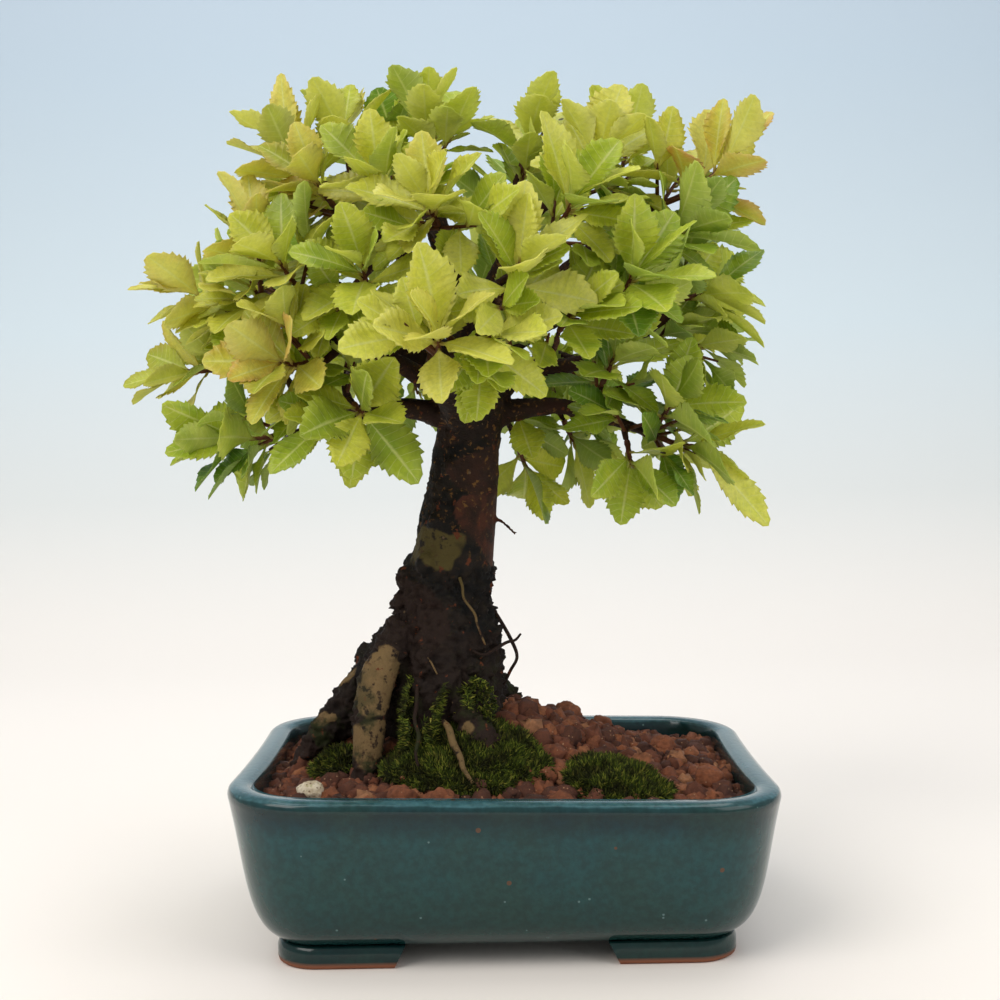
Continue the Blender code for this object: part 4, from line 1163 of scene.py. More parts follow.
def leaf_arrays(leaf, look):
    """Points, faces and per-point facts of one fine leaf."""
    shoot, base, tip, width, face, fold, bend = leaf
    along = tip - base
    length = along.length
    along.normalize()
    normal = (face - along * face.dot(along)).normalized()
    side = along.cross(normal)
    t, tooth = ROWS[:, 0], ROWS[:, 1]
    blade = np.clip((t - 0.07) / 0.93, 0, 1)
    swell = np.sin(np.pi * np.clip(blade, 0, 0.9999) ** 1.20)
    swell = np.where(blade < 0.56, swell ** 1.05, swell ** 0.95)
    half = width * 0.5 * swell * (0.86 + 0.24 * tooth) + np.where(t < 0.99, 0.00038, 0.00002)
    s = COLUMNS[None, :]
    across = half[:, None] * s
    forward = t[:, None] * length + (np.abs(s) ** 3) * (tooth[:, None] * 0.030 * length) * (swell[:,
            None] > 0.02)
    lift = fold * 1.15 * np.abs(s) ** 1.3 * swell[:, None]
    veins = np.cos(2 * np.pi * (blade[:, None] * TEETH * 0.8 - np.abs(s) * 0.9))
    lift = lift - 0.00014 * veins * np.sin(np.pi * np.abs(s)) * swell[:, None]
    lift += look["wave"] * np.sin(t[:,
                                    None] * look["ripple"] + look["phase"] + s * 1.3) * np.abs(s) * swell[:,
                                            None]
    drop = bend * length * t[:, None] ** 2
    turn = look["twist"] * t[:, None]
    lift_turned = lift - drop + across * np.sin(turn)
    across_turned = across * np.cos(turn)
    grid = (np.array(base)[None, None, :] + np.array(along)[None, None, :] * forward[..., None]
            + np.array(side)[None, None, :] * across_turned[..., None] + np.array(normal)[None, None,
                    :] * lift_turned[..., None])
    top = grid.reshape(-1, 3)
    stalk = np.where(t < 0.09, 0.0009, LEAF_SKIN)
    thick = np.repeat(stalk, len(COLUMNS))[:, None]
    under = top - np.array(normal)[None, :] * thick
    return top, under, {"u": np.tile(COLUMNS, len(t)), "v": np.repeat(t, len(COLUMNS))}


def leaf_faces(count, wide):
    """Quads of the top, the underside and the thin edge, for one leaf whose points start at 0."""
    total = count * wide
    faces, below = [], []
    for i in range(count - 1):
        for k in range(wide - 1):
            a = i * wide + k
            faces.append((a, a + wide, a + wide + 1, a + 1))
            below.append((a + total, a + 1 + total, a + wide + 1 + total, a + wide + total))
    ring = [k for k in range(wide)] + [i * wide + wide - 1 for i in range(1, count)]
    ring += [(count - 1) * wide + k for k in range(wide - 2, -1, -1)] + [i * wide for i in range(count - 2,
                                                                                                 0, -1)]
    edge = [(ring[i], ring[(i + 1) % len(ring)], ring[(i + 1) % len(ring)] + total,
             ring[i] + total) for i in range(len(ring))]
    return faces, below, edge


TOP_FACES, UNDER_FACES, EDGE_FACES = leaf_faces(len(ROWS), len(COLUMNS))
print("one leaf:", len(TOP_FACES) + len(UNDER_FACES) + len(EDGE_FACES), "faces")

# %% Which shoots are young and which are older
# 0 is a new yellow-green leaf, 1 is an old deep green one; the second number is the warm blush
AGES = {
    "upper_left": (0.09, 0.25), "top_left": (0.11, 0.15), "top_left_back": (0.40, 0.0), "crown": (0.18,
                                                                                                  0.05),
    "crown_right": (0.14, 0.05), "high_right": (0.09, 0.10), "high_right_back": (0.22,
            0.05), "sprig": (0.11, 0.55),
    "right_upper": (0.50, 0.0), "right_edge": (0.32, 0.0), "right_edge_low": (0.32,
            0.0), "front_high": (0.11, 0.05),
    "front_crown": (0.14, 0.15), "front_crown_left": (0.11, 0.10), "left_high_front": (0.11, 0.30),
    "left_upright": (0.09, 0.45), "left_edge": (0.07, 0.20), "left_edge_low": (0.13,
            0.20), "left_low": (0.43, 0.0),
    "left_front": (0.11, 0.35), "front_low": (0.29, 0.10), "left_inner": (0.36, 0.0), "front": (0.07, 0.12),
    "front_right": (0.18, 0.0), "hanging": (0.25, 0.0), "right_inner_low": (0.32,
            0.0), "right_inner": (0.55, 0.0),
    "right_low_up": (0.47, 0.0), "right_low": (0.18, 0.05), "right_low_front": (0.40, 0.0),
    "mid_right_front": (0.32, 0.0), "right_front": (0.40, 0.0), "high_front_right": (0.18, 0.05),
    "left_mid_front": (0.18, 0.10), "mid_left_front": (0.25, 0.05),
}


def leaf_object(name, leaves, extra=()):
    """One mesh of many leaves, with the facts its material reads."""
    verts, faces, facts = [], [], {"u": [], "v": [], "under": [], "age": [], "blush": [], "luck": []}
    for leaf, age, blush, look in leaves:
        top, under, here = leaf_arrays(leaf, look)
        first = sum(len(v) for v in verts)
        verts += [top, under]
        faces += [tuple(i + first for i in f) for f in TOP_FACES + UNDER_FACES + EDGE_FACES]
        total = len(top)
        for key in ("u", "v"):
            facts[key] += [here[key], here[key]]
        facts["under"] += [np.zeros(total), np.ones(total)]
        for key, value in (("age", age), ("blush", blush), ("luck", look["luck"])):
            facts[key] += [np.full(total * 2, value)]
    stem_verts, stem_faces = gather(extra) if extra else ([], [])
    first = sum(len(v) for v in verts)
    points = [tuple(p) for block in verts for p in block] + [tuple(v) for v in stem_verts]
    faces += [tuple(i + first for i in f) for f in stem_faces]
    made = mesh_object(name, points, faces)
    for key, blocks in facts.items():
        values = np.concatenate(blocks + [np.full(len(stem_verts), -1.0 if key == "age" else 0.0)])
        keep_values(made.data, key, values.astype(np.float32))
    return made


print("ages for", len(AGES), "shoots")


# %% Leaf finish
def make_leaf_finish():
    made, nodes, links, shader = new_material("toothed_leaf")
    place = object_place(nodes)

    def sum_up(operation, *inputs):
        return reckon(nodes, links, operation, *inputs)

    u, v, under, age = (fact(nodes, name) for name in ("u", "v", "under", "age"))
    off = sum_up("ABSOLUTE", u)
    cloud = pattern(nodes, links, BLOTCHES, place, Size=110.0, Grit=5.0, Low=0.30, High=0.70)
    ripe = sum_up("ADD", age, sum_up("MULTIPLY", sum_up("SUBTRACT", cloud, 0.5), 0.22))
    green = ramp(nodes, ((0.0, srgb(246, 244, 128)), (0.22, srgb(230, 234, 88)), (0.5, srgb(194, 212, 70)),
                         (0.78, srgb(140, 178, 62)), (1.0, srgb(92, 138, 62))))
    links.new(ripe, green.inputs["Fac"])
    colour = green.outputs["Color"]
    warm = sum_up("MULTIPLY", fact(nodes, "blush"), sum_up("ADD", 0.30, sum_up("MULTIPLY", off, 0.70)))
    warm = sum_up("MULTIPLY", warm, sum_up("ADD", 0.4, cloud))
    colour = mixer(nodes, links, warm, colour, srgb(236, 152, 104))
    # side veins leave the midrib and run forward to the teeth
    lane = sum_up("SUBTRACT", sum_up("MULTIPLY", v, TEETH * 1.075), sum_up("MULTIPLY", off, 0.95))
    near = sum_up("ABSOLUTE", sum_up("SUBTRACT", sum_up("FRACT", lane), 0.5))
    vein = ranged(nodes, links, near, From_Min=0.44, From_Max=0.5)
    rib = ranged(nodes, links, off, From_Min=0.10, From_Max=0.02)
    lines = sum_up("MAXIMUM", sum_up("MULTIPLY", vein, 0.75), rib)
    colour = mixer(nodes, links, sum_up("MULTIPLY", lines, 0.62), colour, srgb(246, 246, 176))
    between = pattern(nodes, links, BLOTCHES, place, Size=900.0, Grit=3.0, Low=0.3, High=0.7)
    colour = mixer(nodes, links, sum_up("MULTIPLY", between, 0.16), colour, srgb(92, 116, 34))
    pale = mixer(nodes, links, 0.35, colour, srgb(214, 224, 140))
    colour = mixer(nodes, links, under, colour, pale)
    spot = pattern(nodes, links, SPECKS, place, Size=95.0, Dot=0.10, Share=0.020)
    colour = mixer(nodes, links, spot, colour, srgb(46, 30, 20))
    stalk = ranged(nodes, links, v, From_Min=0.13, From_Max=0.055)
    colour = mixer(nodes, links, sum_up("MULTIPLY", stalk, 0.7), colour, srgb(158, 120, 62))
    is_stem = sum_up("LESS_THAN", age, -0.5)
    bark = mixer(nodes, links, cloud, srgb(88, 46, 28), srgb(128, 76, 44))
    colour = mixer(nodes, links, is_stem, colour, bark)
    links.new(colour, shader.inputs["Base Color"])
    rough = ranged(nodes, links, under, To_Min=0.40, To_Max=0.62)
    links.new(rough, shader.inputs["Roughness"])
    relief = sum_up("SUBTRACT", sum_up("MULTIPLY", between, 0.25), lines)
    bump_from(nodes, links, shader, relief, 0.35, 0.0003)
    glow = nodes.new("ShaderNodeBsdfTranslucent")
    links.new(colour, glow.inputs["Color"])
    blend = nodes.new("ShaderNodeMixShader")
    blend.inputs[0].default_value = 0.45
    out = nodes["Material Output"]
    links.new(shader.outputs[0], blend.inputs[1])
    links.new(glow.outputs[0], blend.inputs[2])
    links.new(blend.outputs[0], out.inputs["Surface"])
    return made


leaf_finish = make_leaf_finish()
print("leaf finish ready")


# %% Build every shoot
def leaf_look(chance):
    return {"wave": chance.uniform(0.0004, 0.0015), "ripple": chance.uniform(6, 11),
            "phase": chance.uniform(0, 6.28),
            "twist": chance.uniform(-0.50, 0.50), "luck": chance.random()}


def make_shoot(shoot):
    chance = random.Random("looks %s %d" % (shoot, SEED))
    age, blush = AGES.get(shoot, (0.28, 0.0))
    leaves = []
    for leaf in (leaf for leaf in plan if leaf[0] == shoot):
        own_age = min(1.0, max(0.0, age + chance.choice((-0.12, -0.05, 0.0, 0.08,
                                                         0.30)) + chance.uniform(-0.06, 0.08)))
        leaves.append((leaf, own_age, max(0.0, blush * chance.uniform(0.3, 1.3)), leaf_look(chance)))
    points = smooth(twig_points(shoot), 6)
    start = points[0] - (points[1] - points[0]).normalized() * 0.0006
    points[0] = start
    thick = [0.00105 - 0.00055 * i / (len(points) - 1) for i in range(len(points))]
    thick = [r * (1 + (0.22 if i % 3 == 1 else 0)) for i, r in enumerate(thick)]
    stems = [tube_shape(points, thick, 6)]
    for twig, side_leaves in SIDES[shoot]:
        if side_leaves:
            stems.append(tube_shape(smooth(twig, 4), [0.0008, 0.00075, 0.0007, 0.00055, 0.0004], 6))
        for leaf in side_leaves:
            own_age = min(1.0, max(0.0, age + 0.06 + chance.uniform(-0.12, 0.32)))
            leaves.append((leaf, own_age, blush * 0.3, leaf_look(chance)))
    piece = leaf_object("leafy_shoot_" + shoot, leaves, stems)
    place_home(piece)
    piece.data.materials.append(leaf_finish)
    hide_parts("spray_" + shoot)
    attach(piece, "root")
    return len(leaves)


print("leaves made", sum(make_shoot(shoot) for shoot, *_ in SHOOTS))

# %% [markdown]
# ## Soil, gravel and pumice
# The pot is filled with crumbs of fired clay, so the bed is not a smooth brown surface but
# thousands of loose grains. A bed is lofted up to the heap round the trunk, and Geometry Nodes
# scatter four kinds of grain over it, keeping them apart, turning and sizing each by chance.

# %% Heap and bed
def soil_height(x, y):
    dx = x - MOUND_X
    side = dx / (0.030 if dx < 0 else 0.040)
    depth = y / (0.026 if y < 0 else 0.036)
    ripple = 0.0006 * math.sin(x * 410 + 1) * math.cos(y * 370)
    mound = MOUND_HEIGHT * math.exp(-(side * side + depth * depth) / 2)
    return tilt(x, POT_HEIGHT - SOIL_BELOW_RIM) + mound + ripple


def make_bed(rings=22):
    floor = FLOOR_TOP + GAP
    top = POT_HEIGHT - SOIL_BELOW_RIM
    verts = [Vector((x, y, tilt(x, floor))) for x, y in outline(inner_inset(FLOOR_TOP) + 0.004 + 2 * GAP)]
    verts += [Vector((x, y, tilt(x, FLOOR_TOP + 0.0055))) for x,
              y in outline(inner_inset(FLOOR_TOP + 0.005) + 2 * GAP)]
    edge = outline(inner_inset(top) + 2 * GAP)
    count = len(edge)
    for ring in range(rings):
        share = 1 - ring / rings
        for x, y in edge:
            px, py = MOUND_X * (1 - share) + x * share, y * share
            crumbs = 0.0010 * noise.noise(Vector((px * 260, py * 260, 1)))
            verts.append(Vector((px, py, soil_height(px, py) - 0.0012 + crumbs)))
    verts.append(Vector((MOUND_X, 0, soil_height(MOUND_X, 0) - 0.0012)))
    faces = []
    levels = 2 + rings
    for i in range(levels - 1):
        for k in range(count):
            a, b = i * count + k, i * count + (k + 1) % count
            faces.append((a, b, b + count, a + count))
    for k in range(count):
        faces.append(((levels - 1) * count + k, (levels - 1) * count + (k + 1) % count, levels * count))
    faces.append(tuple(reversed(range(count))))
    bed = mesh_object("bed", verts, faces)
    face_outwards(bed)
    return bed


bed = make_bed()
print("bed faces", len(bed.data.polygons))


# %% Geometry Nodes that scatter grains
def geometry_group(name, inputs):
    group = bpy.data.node_groups.new(name, "GeometryNodeTree")
    group.interface.new_socket(name="Surface", in_out="INPUT", socket_type="NodeSocketGeometry")
    for label, kind, value in inputs:
        socket = group.interface.new_socket(name=label, in_out="INPUT", socket_type=kind)
        if value is not None:
            socket.default_value = value
    group.interface.new_socket(name="Result", in_out="OUTPUT", socket_type="NodeSocketGeometry")
    return group, group.nodes.new("NodeGroupInput"), group.nodes.new("NodeGroupOutput")


def random_value(nodes, kind, low, high, seed):
    made = nodes.new("FunctionNodeRandomValue")
    made.data_type = kind
    slots = {"FLOAT": (2, 3), "FLOAT_VECTOR": (0, 1), "INT": (4, 5)}[kind]
    for slot, value in zip(slots, (low, high)):
        if isinstance(value, bpy.types.NodeSocket):
            made.id_data.links.new(value, made.inputs[slot])
        else:
            made.inputs[slot].default_value = value
    made.inputs["Seed"].default_value = seed
    return made.outputs[{"FLOAT": 1, "FLOAT_VECTOR": 0, "INT": 2}[kind]]


def tint_and_join(nodes, links, copies, inside, out, seed):
    """Give each copy a tint of its own, turn all of them into plain mesh and set its material."""
    tag = nodes.new("GeometryNodeStoreNamedAttribute")
    tag.domain = "INSTANCE"
    tag.inputs["Name"].default_value = "tint"
    links.new(copies.outputs[0], tag.inputs["Geometry"])
    links.new(random_value(nodes, "FLOAT", 0.0, 1.0, seed), tag.inputs["Value"])
    real = nodes.new("GeometryNodeRealizeInstances")
    links.new(tag.outputs[0], real.inputs[0])
    paint = nodes.new("GeometryNodeSetMaterial")
    links.new(real.outputs[0], paint.inputs["Geometry"])
    links.new(inside.outputs["Finish"], paint.inputs["Material"])
    links.new(paint.outputs[0], out.inputs[0])


def grain_scatter():
    group, inside, out = geometry_group("scatter_grains", (
        ("Spacing", "NodeSocketFloat", 0.002), ("Smallest", "NodeSocketFloat", 0.001), ("Largest",
                "NodeSocketFloat", 0.003),
        ("Seed", "NodeSocketInt", 1), ("Finish", "NodeSocketMaterial", None)))
    nodes, links = group.nodes, group.links
    up_only = nodes.new("GeometryNodeInputNormal")
    part = nodes.new("ShaderNodeSeparateXYZ")
    links.new(up_only.outputs[0], part.inputs[0])
    upward = node(nodes, "FunctionNodeCompare", operation="GREATER_THAN")
    upward.inputs[1].default_value = 0.5
    links.new(part.outputs["Z"], upward.inputs[0])
    spread = nodes.new("GeometryNodeDistributePointsOnFaces")
    spread.distribute_method = "POISSON"
    links.new(inside.outputs["Surface"], spread.inputs["Mesh"])
    links.new(upward.outputs[0], spread.inputs["Selection"])
    links.new(inside.outputs["Spacing"], spread.inputs["Distance Min"])
    spread.inputs["Density Max"].default_value = 400000
    links.new(inside.outputs["Seed"], spread.inputs["Seed"])
    kinds = nodes.new("GeometryNodeJoinGeometry")
    for k in range(4):
        ball = nodes.new("GeometryNodeMeshIcoSphere")
        ball.inputs["Radius"].default_value = 1.0
        ball.inputs["Subdivisions"].default_value = 2
        rough = node(nodes, "ShaderNodeTexNoise", Scale=1.5, Detail=3.0)
        spot = nodes.new("GeometryNodeInputPosition")
        moved = node(nodes, "ShaderNodeVectorMath", operation="ADD")
        moved.inputs[1].default_value = (7.0 * k, 3.0 * k, 5.0)
        links.new(spot.outputs[0], moved.inputs[0])
        links.new(moved.outputs[0], rough.inputs["Vector"])
        centred = node(nodes, "ShaderNodeVectorMath", operation="SUBTRACT")
        centred.inputs[1].default_value = (0.5, 0.5, 0.5)
        links.new(rough.outputs["Color"], centred.inputs[0])
        stretch = node(nodes, "ShaderNodeVectorMath", operation="SCALE")
        stretch.inputs["Scale"].default_value = 2.1
        links.new(centred.outputs[0], stretch.inputs[0])
        shaped = nodes.new("GeometryNodeSetPosition")
        links.new(ball.outputs["Mesh"], shaped.inputs["Geometry"])
        links.new(stretch.outputs[0], shaped.inputs["Offset"])
        one = nodes.new("GeometryNodeGeometryToInstance")
        links.new(shaped.outputs[0], one.inputs[0])
        links.new(one.outputs[0], kinds.inputs[0])
    put = nodes.new("GeometryNodeInstanceOnPoints")
    put.inputs["Pick Instance"].default_value = True
    links.new(spread.outputs["Points"], put.inputs["Points"])
    links.new(kinds.outputs[0], put.inputs["Instance"])
    links.new(random_value(nodes, "INT", 0, 3, 3), put.inputs["Instance Index"])
    links.new(random_value(nodes, "FLOAT_VECTOR", (0, 0, 0), (6.28, 6.28, 6.28), 5), put.inputs["Rotation"])
    size = random_value(nodes, "FLOAT", 0.0, 1.0, 8)
    skew = node(nodes, "ShaderNodeMath", operation="POWER")
    skew.inputs[1].default_value = 2.2
    links.new(size, skew.inputs[0])
    scale = node(nodes, "ShaderNodeMapRange")
    links.new(skew.outputs[0], scale.inputs["Value"])
    links.new(inside.outputs["Smallest"], scale.inputs["To Min"])
    links.new(inside.outputs["Largest"], scale.inputs["To Max"])
    links.new(scale.outputs["Result"], put.inputs["Scale"])
    tint_and_join(nodes, links, put, inside, out, 11)
    return group


def run_nodes(name, surface, group, **values):
    """Use a copy of the surface as the input of a node tree and keep the plain result."""
    made = linked(name, surface.data.copy())
    mod = made.modifiers.new("nodes", "NODES")
    mod.node_group = group
    names = {item.name: item.identifier for item in group.interface.items_tree if item.in_out == "INPUT"}
    for key, value in values.items():
        mod[names[key.replace("_", " ")]] = value
    return baked(made)


def make_clay(name, light, dark):
    made, nodes, links, shader = new_material(name)
    place = object_place(nodes)
    tint = fact(nodes, "tint")
    shade = ramp(nodes, ((0.0, dark), (0.55, light), (0.9, srgb(150, 88, 54)), (1.0, srgb(176, 122, 84))))
    links.new(tint, shade.inputs["Fac"])
    cloud = pattern(nodes, links, BLOTCHES, place, Size=500.0, Grit=6.0, Low=0.32, High=0.70)
    deep = mixer(nodes, links, 0.45, shade.outputs["Color"], srgb(44, 26, 18))
    colour = mixer(nodes, links, cloud, deep, shade.outputs["Color"])
    dust = pattern(nodes, links, SPECKS, place, Size=900.0, Dot=0.25, Share=0.10)
    colour = mixer(nodes, links, dust, colour, srgb(158, 118, 88))
    links.new(colour, shader.inputs["Base Color"])
    shader.inputs["Roughness"].default_value = 0.9
    relief = node(nodes, "ShaderNodeTexNoise", Scale=1400.0, Detail=6.0, Roughness=0.7)
    links.new(place, relief.inputs["Vector"])
    bump_from(nodes, links, shader, relief.outputs["Fac"], 0.9, 0.0006)
    return made


grains = grain_scatter()
soil_finish = make_clay("crumbled_fired_clay", srgb(120, 66, 42), srgb(76, 42, 28))
scattered = run_nodes("scattered", bed, grains, Spacing=0.0029, Smallest=0.0014, Largest=0.0045, Seed=4,
                      Finish=soil_finish)
print("grain faces", len(scattered.data.polygons))

# %% Soil as one piece
bed.data.materials.append(soil_finish)
shade_smooth(scattered.data)
soil = join(bed, [scattered])
soil.name = "clay_soil"
place_home(soil)
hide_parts("soil")
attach(soil, "root")
print("soil faces", len(soil.data.polygons))

# %% The larger grains and the pumice
GRAVEL = (
    ("grain_front_left", -33, -53.5, (0.0048, 0.0044, 0.0046)),
    ("grain_front_mid", -20.5, -56.0, (0.0048, 0.0042, 0.0044)),
    ("grain_right", 70, -26, (0.0050, 0.0042, 0.0044)),
    ("grain_back_near", 24, 26, (0.0052, 0.0048, 0.0050)),
    ("grain_back_far", 37, 30, (0.0044, 0.0048, 0.0044)),
    ("grain_right_back", 58, 10, (0.0048, 0.0042, 0.0044)),
)
STONE_SINK = 0.36
PUMICE = ("pumice", -64, -42, (0.0046, 0.0038, 0.0040))


def make_stone(name, x, y, sizes, seed, sink, finish, slot, tint):
    bm = bmesh.new()
    bmesh.ops.create_icosphere(bm, subdivisions=4, radius=1.0)
    chance = random.Random(seed)
    drift = Vector([chance.uniform(0, 50) for _ in range(3)])
    px, py = x * MM, y * MM
    centre = Vector((px, py, soil_height(px, py) + sizes[2] * (1 - 2 * sink)))
    for v in bm.verts:
        p = v.co.normalized()
        rough = 0.98 + 0.24 * noise.noise(p * 1.4 + drift) + 0.10 * noise.noise(p * 4 + drift)
        rough += 0.04 * noise.noise(p * 11 + drift)
        v.co = centre + Vector((p.x * sizes[0], p.y * sizes[1], p.z * sizes[2])) * rough
    stone = bmesh_object("loose_" + name, bm)
    shade_smooth(stone.data)
    keep_values(stone.data, "tint", [tint] * len(stone.data.vertices))
    place_home(stone)
    stone.data.materials.append(finish)
    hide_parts(name)
    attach(stone, "root")


def make_pumice_finish():
    made, nodes, links, shader = new_material("pale_pumice")
    place = object_place(nodes)
    cloud = pattern(nodes, links, BLOTCHES, place, Size=260.0, Grit=5.0, Low=0.35, High=0.65)
    colour = mixer(nodes, links, cloud, srgb(176, 158, 128), srgb(226, 214, 190))
    algae = pattern(nodes, links, BLOTCHES, place, Size=170.0, Grit=3.0, Low=0.58, High=0.70)
    colour = mixer(nodes, links, algae, colour, srgb(122, 126, 58))
    pits = pattern(nodes, links, SPECKS, place, Size=900.0, Dot=0.28, Share=0.35)
    colour = mixer(nodes, links, pits, colour, srgb(118, 98, 76))
    links.new(colour, shader.inputs["Base Color"])
    shader.inputs["Roughness"].default_value = 0.9
    bump_from(nodes, links, shader, cloud, 0.6, 0.0006)
    return made


for i, (name, x, y, sizes) in enumerate(GRAVEL):
    make_stone(name, x, y, sizes, 100 + i, STONE_SINK, soil_finish, "clay_grain", 0.72 + 0.04 * (i % 4))
make_stone(*PUMICE, 106, STONE_SINK, make_pumice_finish(), "pumice", 0.5)
print("stones", len(GRAVEL) + 1)

# %% [markdown]
# ## Moss
# Moss is a felt of tiny upright shoots on a low cushion. The cushion is a noisy dome, and Geometry
# Nodes plant a few thousand small pointed shoots on it, leaning each by chance.

# %% Moss cushions
MOSS = (
    ("moss_front", -13, -33.5, (0.0270, 0.0165, 0.0052)),
    ("moss_right", 38, -39, (0.0175, 0.0140, 0.0050)),
    ("moss_left", -57, -21, (0.0090, 0.0065, 0.0050)),
)
MOSS_SINK = 0.40


def moss_scatter():
    group, inside, out = geometry_group("plant_moss", (
        ("Density", "NodeSocketFloat", 1000.0), ("Shoot Height", "NodeSocketFloat", 0.002), ("Shoot Width",
                "NodeSocketFloat", 0.0003),
        ("Lean", "NodeSocketFloat", 0.6), ("Seed", "NodeSocketInt", 1), ("Finish", "NodeSocketMaterial",
                                                                         None)))
    nodes, links = group.nodes, group.links
    spread = nodes.new("GeometryNodeDistributePointsOnFaces")
    links.new(inside.outputs["Surface"], spread.inputs["Mesh"])
    links.new(inside.outputs["Density"], spread.inputs["Density"])
    links.new(inside.outputs["Seed"], spread.inputs["Seed"])
    spike = nodes.new("GeometryNodeMeshCone")
    spike.inputs["Vertices"].default_value = 4
    links.new(inside.outputs["Shoot Height"], spike.inputs["Depth"])
    links.new(inside.outputs["Shoot Width"], spike.inputs["Radius Bottom"])
    put = nodes.new("GeometryNodeInstanceOnPoints")
    links.new(spread.outputs["Points"], put.inputs["Points"])
    links.new(spike.outputs["Mesh"], put.inputs["Instance"])
    links.new(spread.outputs["Rotation"], put.inputs["Rotation"])
    links.new(random_value(nodes, "FLOAT", 0.55, 1.35, 2), put.inputs["Scale"])
    lean = nodes.new("GeometryNodeRotateInstances")
    links.new(put.outputs[0], lean.inputs["Instances"])
    tip = random_value(nodes, "FLOAT_VECTOR", (-1, -1, -3), (1, 1, 3), 6)
    amount = node(nodes, "ShaderNodeVectorMath", operation="SCALE")
    links.new(tip, amount.inputs[0])
    links.new(inside.outputs["Lean"], amount.inputs["Scale"])
    links.new(amount.outputs[0], lean.inputs["Rotation"])
    tint_and_join(nodes, links, lean, inside, out, 9)
    return group


def make_moss_finish():
    made, nodes, links, shader = new_material("dark_moss")
    place = object_place(nodes)
    tint = fact(nodes, "tint")
    shade = ramp(nodes, ((0.0, srgb(36, 44, 14)), (0.5, srgb(66, 80, 22)), (0.85, srgb(110, 120, 38)), (1.0,
            srgb(156, 150, 66))))
    links.new(tint, shade.inputs["Fac"])
    cloud = pattern(nodes, links, BLOTCHES, place, Size=150.0, Grit=5.0, Low=0.40, High=0.60)
    deep = mixer(nodes, links, 0.72, shade.outputs["Color"], srgb(24, 17, 9))
    colour = mixer(nodes, links, cloud, deep, shade.outputs["Color"])
    links.new(colour, shader.inputs["Base Color"])
    shader.inputs["Specular IOR Level"].default_value = 0.2
    shader.inputs["Roughness"].default_value = 0.85
    return made


moss_nodes, moss_finish = moss_scatter(), make_moss_finish()


def make_moss(name, x, y, sizes, seed):
    bm = bmesh.new()
    bmesh.ops.create_icosphere(bm, subdivisions=5, radius=1.0)
    px, py = x * MM, y * MM
    lift = sizes[2] * (1 - 2 * MOSS_SINK)
    drift = Vector((seed, 2 * seed, 0))
    for v in bm.verts:
        p = v.co.normalized()
        rough = 0.97 + 0.20 * noise.noise(p * 2.2 + drift) + 0.12 * noise.noise(p * 6 + drift)
        rough += 0.05 * noise.noise(p * 15 + drift)
        x, y = px + p.x * sizes[0] * rough, py + p.y * sizes[1] * rough
        v.co = Vector((x, y, soil_height(x, y) + lift + p.z * sizes[2] * rough))
    cushion = bmesh_object(name + "_cushion", bm)
    shade_smooth(cushion.data)
    keep_values(cushion.data, "tint", [0.2] * len(cushion.data.vertices))
    shoots = run_nodes(name + "_shoots", cushion, moss_nodes, Density=4.0e6, Shoot_Height=0.0020,
                       Shoot_Width=0.00032, Lean=0.5,
                       Seed=seed, Finish=moss_finish)
    cushion.data.materials.append(moss_finish)
    join(cushion, [shoots])
    cushion.name = name + "_felt"
    place_home(cushion)
    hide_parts(name)
    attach(cushion, "root")
    return len(cushion.data.polygons)


for i, (name, x, y, sizes) in enumerate(MOSS):
    print(name, "faces", make_moss(name, x, y, sizes, 200 + i))

# %% Moss that has climbed onto the bark
MOSSY_BARK = ((-51, -16, 86, 5), (-54, -18, 79, 6), (-56, -20, 72, 6), (-28, -22, 80, 9), (-18, -25, 78, 9),
              (-8, -24, 80, 9), (0, -18, 76, 8), (-33, -28, 70, 8), (-47, -20, 60, 8), (-20, -30, 72, 9))


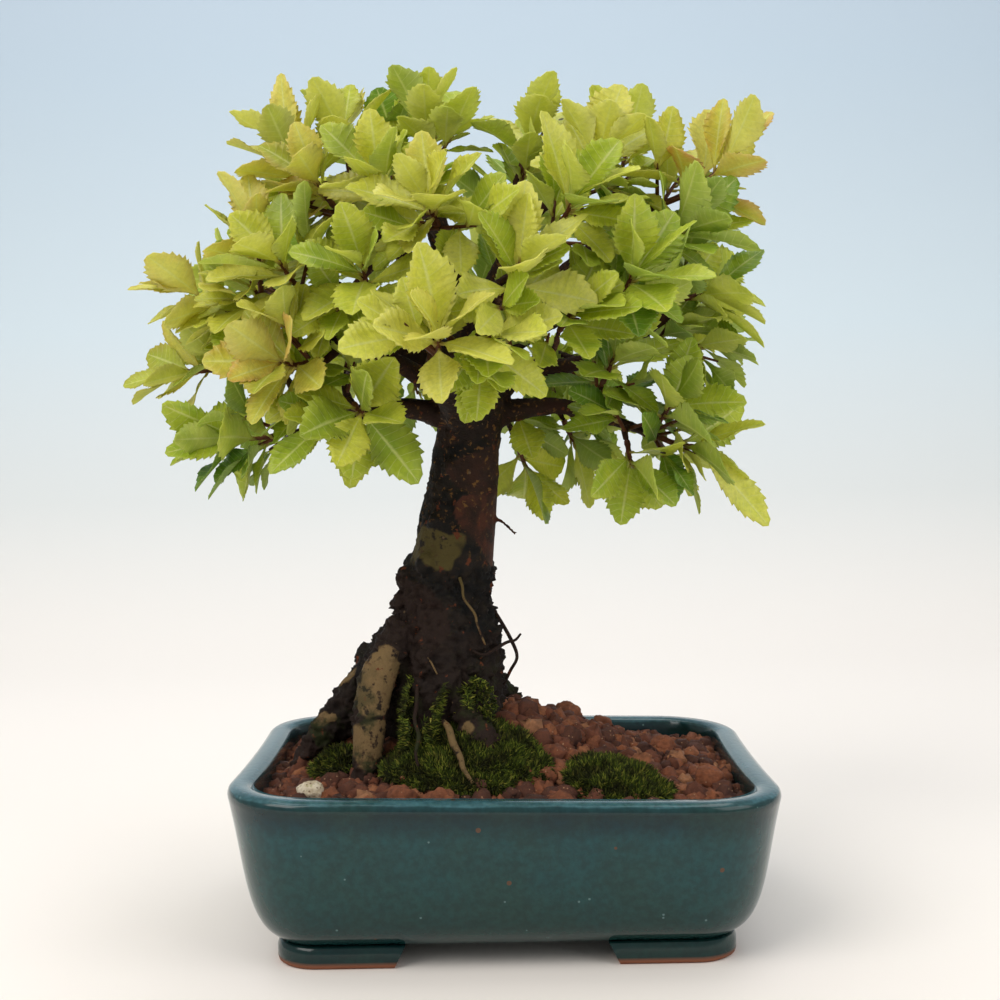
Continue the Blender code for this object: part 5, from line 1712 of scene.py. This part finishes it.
def moss_on_bark():
    """Plant moss on the bark faces near the listed places."""
    bm = bmesh.new()
    bm.from_mesh(wood.data)
    far = []
    for f in bm.faces:
        p = f.calc_center_median()
        ragged = 0.25 * noise.noise(p * 240)
        near = any((p - at(x, y, z)).length < reach * MM * (0.9 + ragged) for x, y, z, reach in MOSSY_BARK)
        if not near or f.normal.z < -0.4:
            far.append(f)
    bmesh.ops.delete(bm, geom=far, context="FACES")
    patch = bpy.data.objects.new("bark_patch", bpy.data.meshes.new("bark_patch"))
    bm.to_mesh(patch.data)
    bm.free()
    shoots = run_nodes("moss_on_bark", patch, moss_nodes, Density=3.2e6, Shoot_Height=0.0022,
                       Shoot_Width=0.00034,
                       Lean=0.6, Seed=77, Finish=moss_finish)
    bpy.data.objects.remove(patch)
    place_home(shoots)
    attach(shoots, "root")
    return len(shoots.data.polygons)


print("moss on bark faces", moss_on_bark())

# %% [markdown]
# ## Drain screens and tie wire
# These CAD nodes have the right shape already, so they only get a better finish: moulded black
# plastic with a fine grain, and soft aluminium wire with a dull sheen.

# %% Finish the hidden fittings
def make_plastic():
    made, nodes, links, shader = new_material("black_moulded_plastic")
    place = object_place(nodes)
    cloud = pattern(nodes, links, BLOTCHES, place, Size=300.0, Grit=5.0, Low=0.3, High=0.7)
    links.new(mixer(nodes, links, cloud, srgb(26, 26, 26), srgb(44, 43, 41)), shader.inputs["Base Color"])
    shader.inputs["Roughness"].default_value = 0.5
    bump_from(nodes, links, shader, cloud, 0.2, 0.0002)
    return made


def make_wire_finish():
    made, nodes, links, shader = new_material("soft_aluminium_wire")
    place = object_place(nodes)
    cloud = pattern(nodes, links, BLOTCHES, place, Size=600.0, Grit=5.0, Low=0.3, High=0.7)
    links.new(mixer(nodes, links, cloud, srgb(126, 120, 112), srgb(176, 170, 160)),
              shader.inputs["Base Color"])
    shader.inputs["Metallic"].default_value = 1.0
    shader.inputs["Roughness"].default_value = 0.42
    return made


def refinish(name, finish):
    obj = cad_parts[name]
    obj.data.materials.clear()
    obj.data.materials.append(finish)


plastic = make_plastic()
refinish("drain_screen_left", plastic)
refinish("drain_screen_right", plastic)
refinish("tie_wire", make_wire_finish())
print("fittings finished")
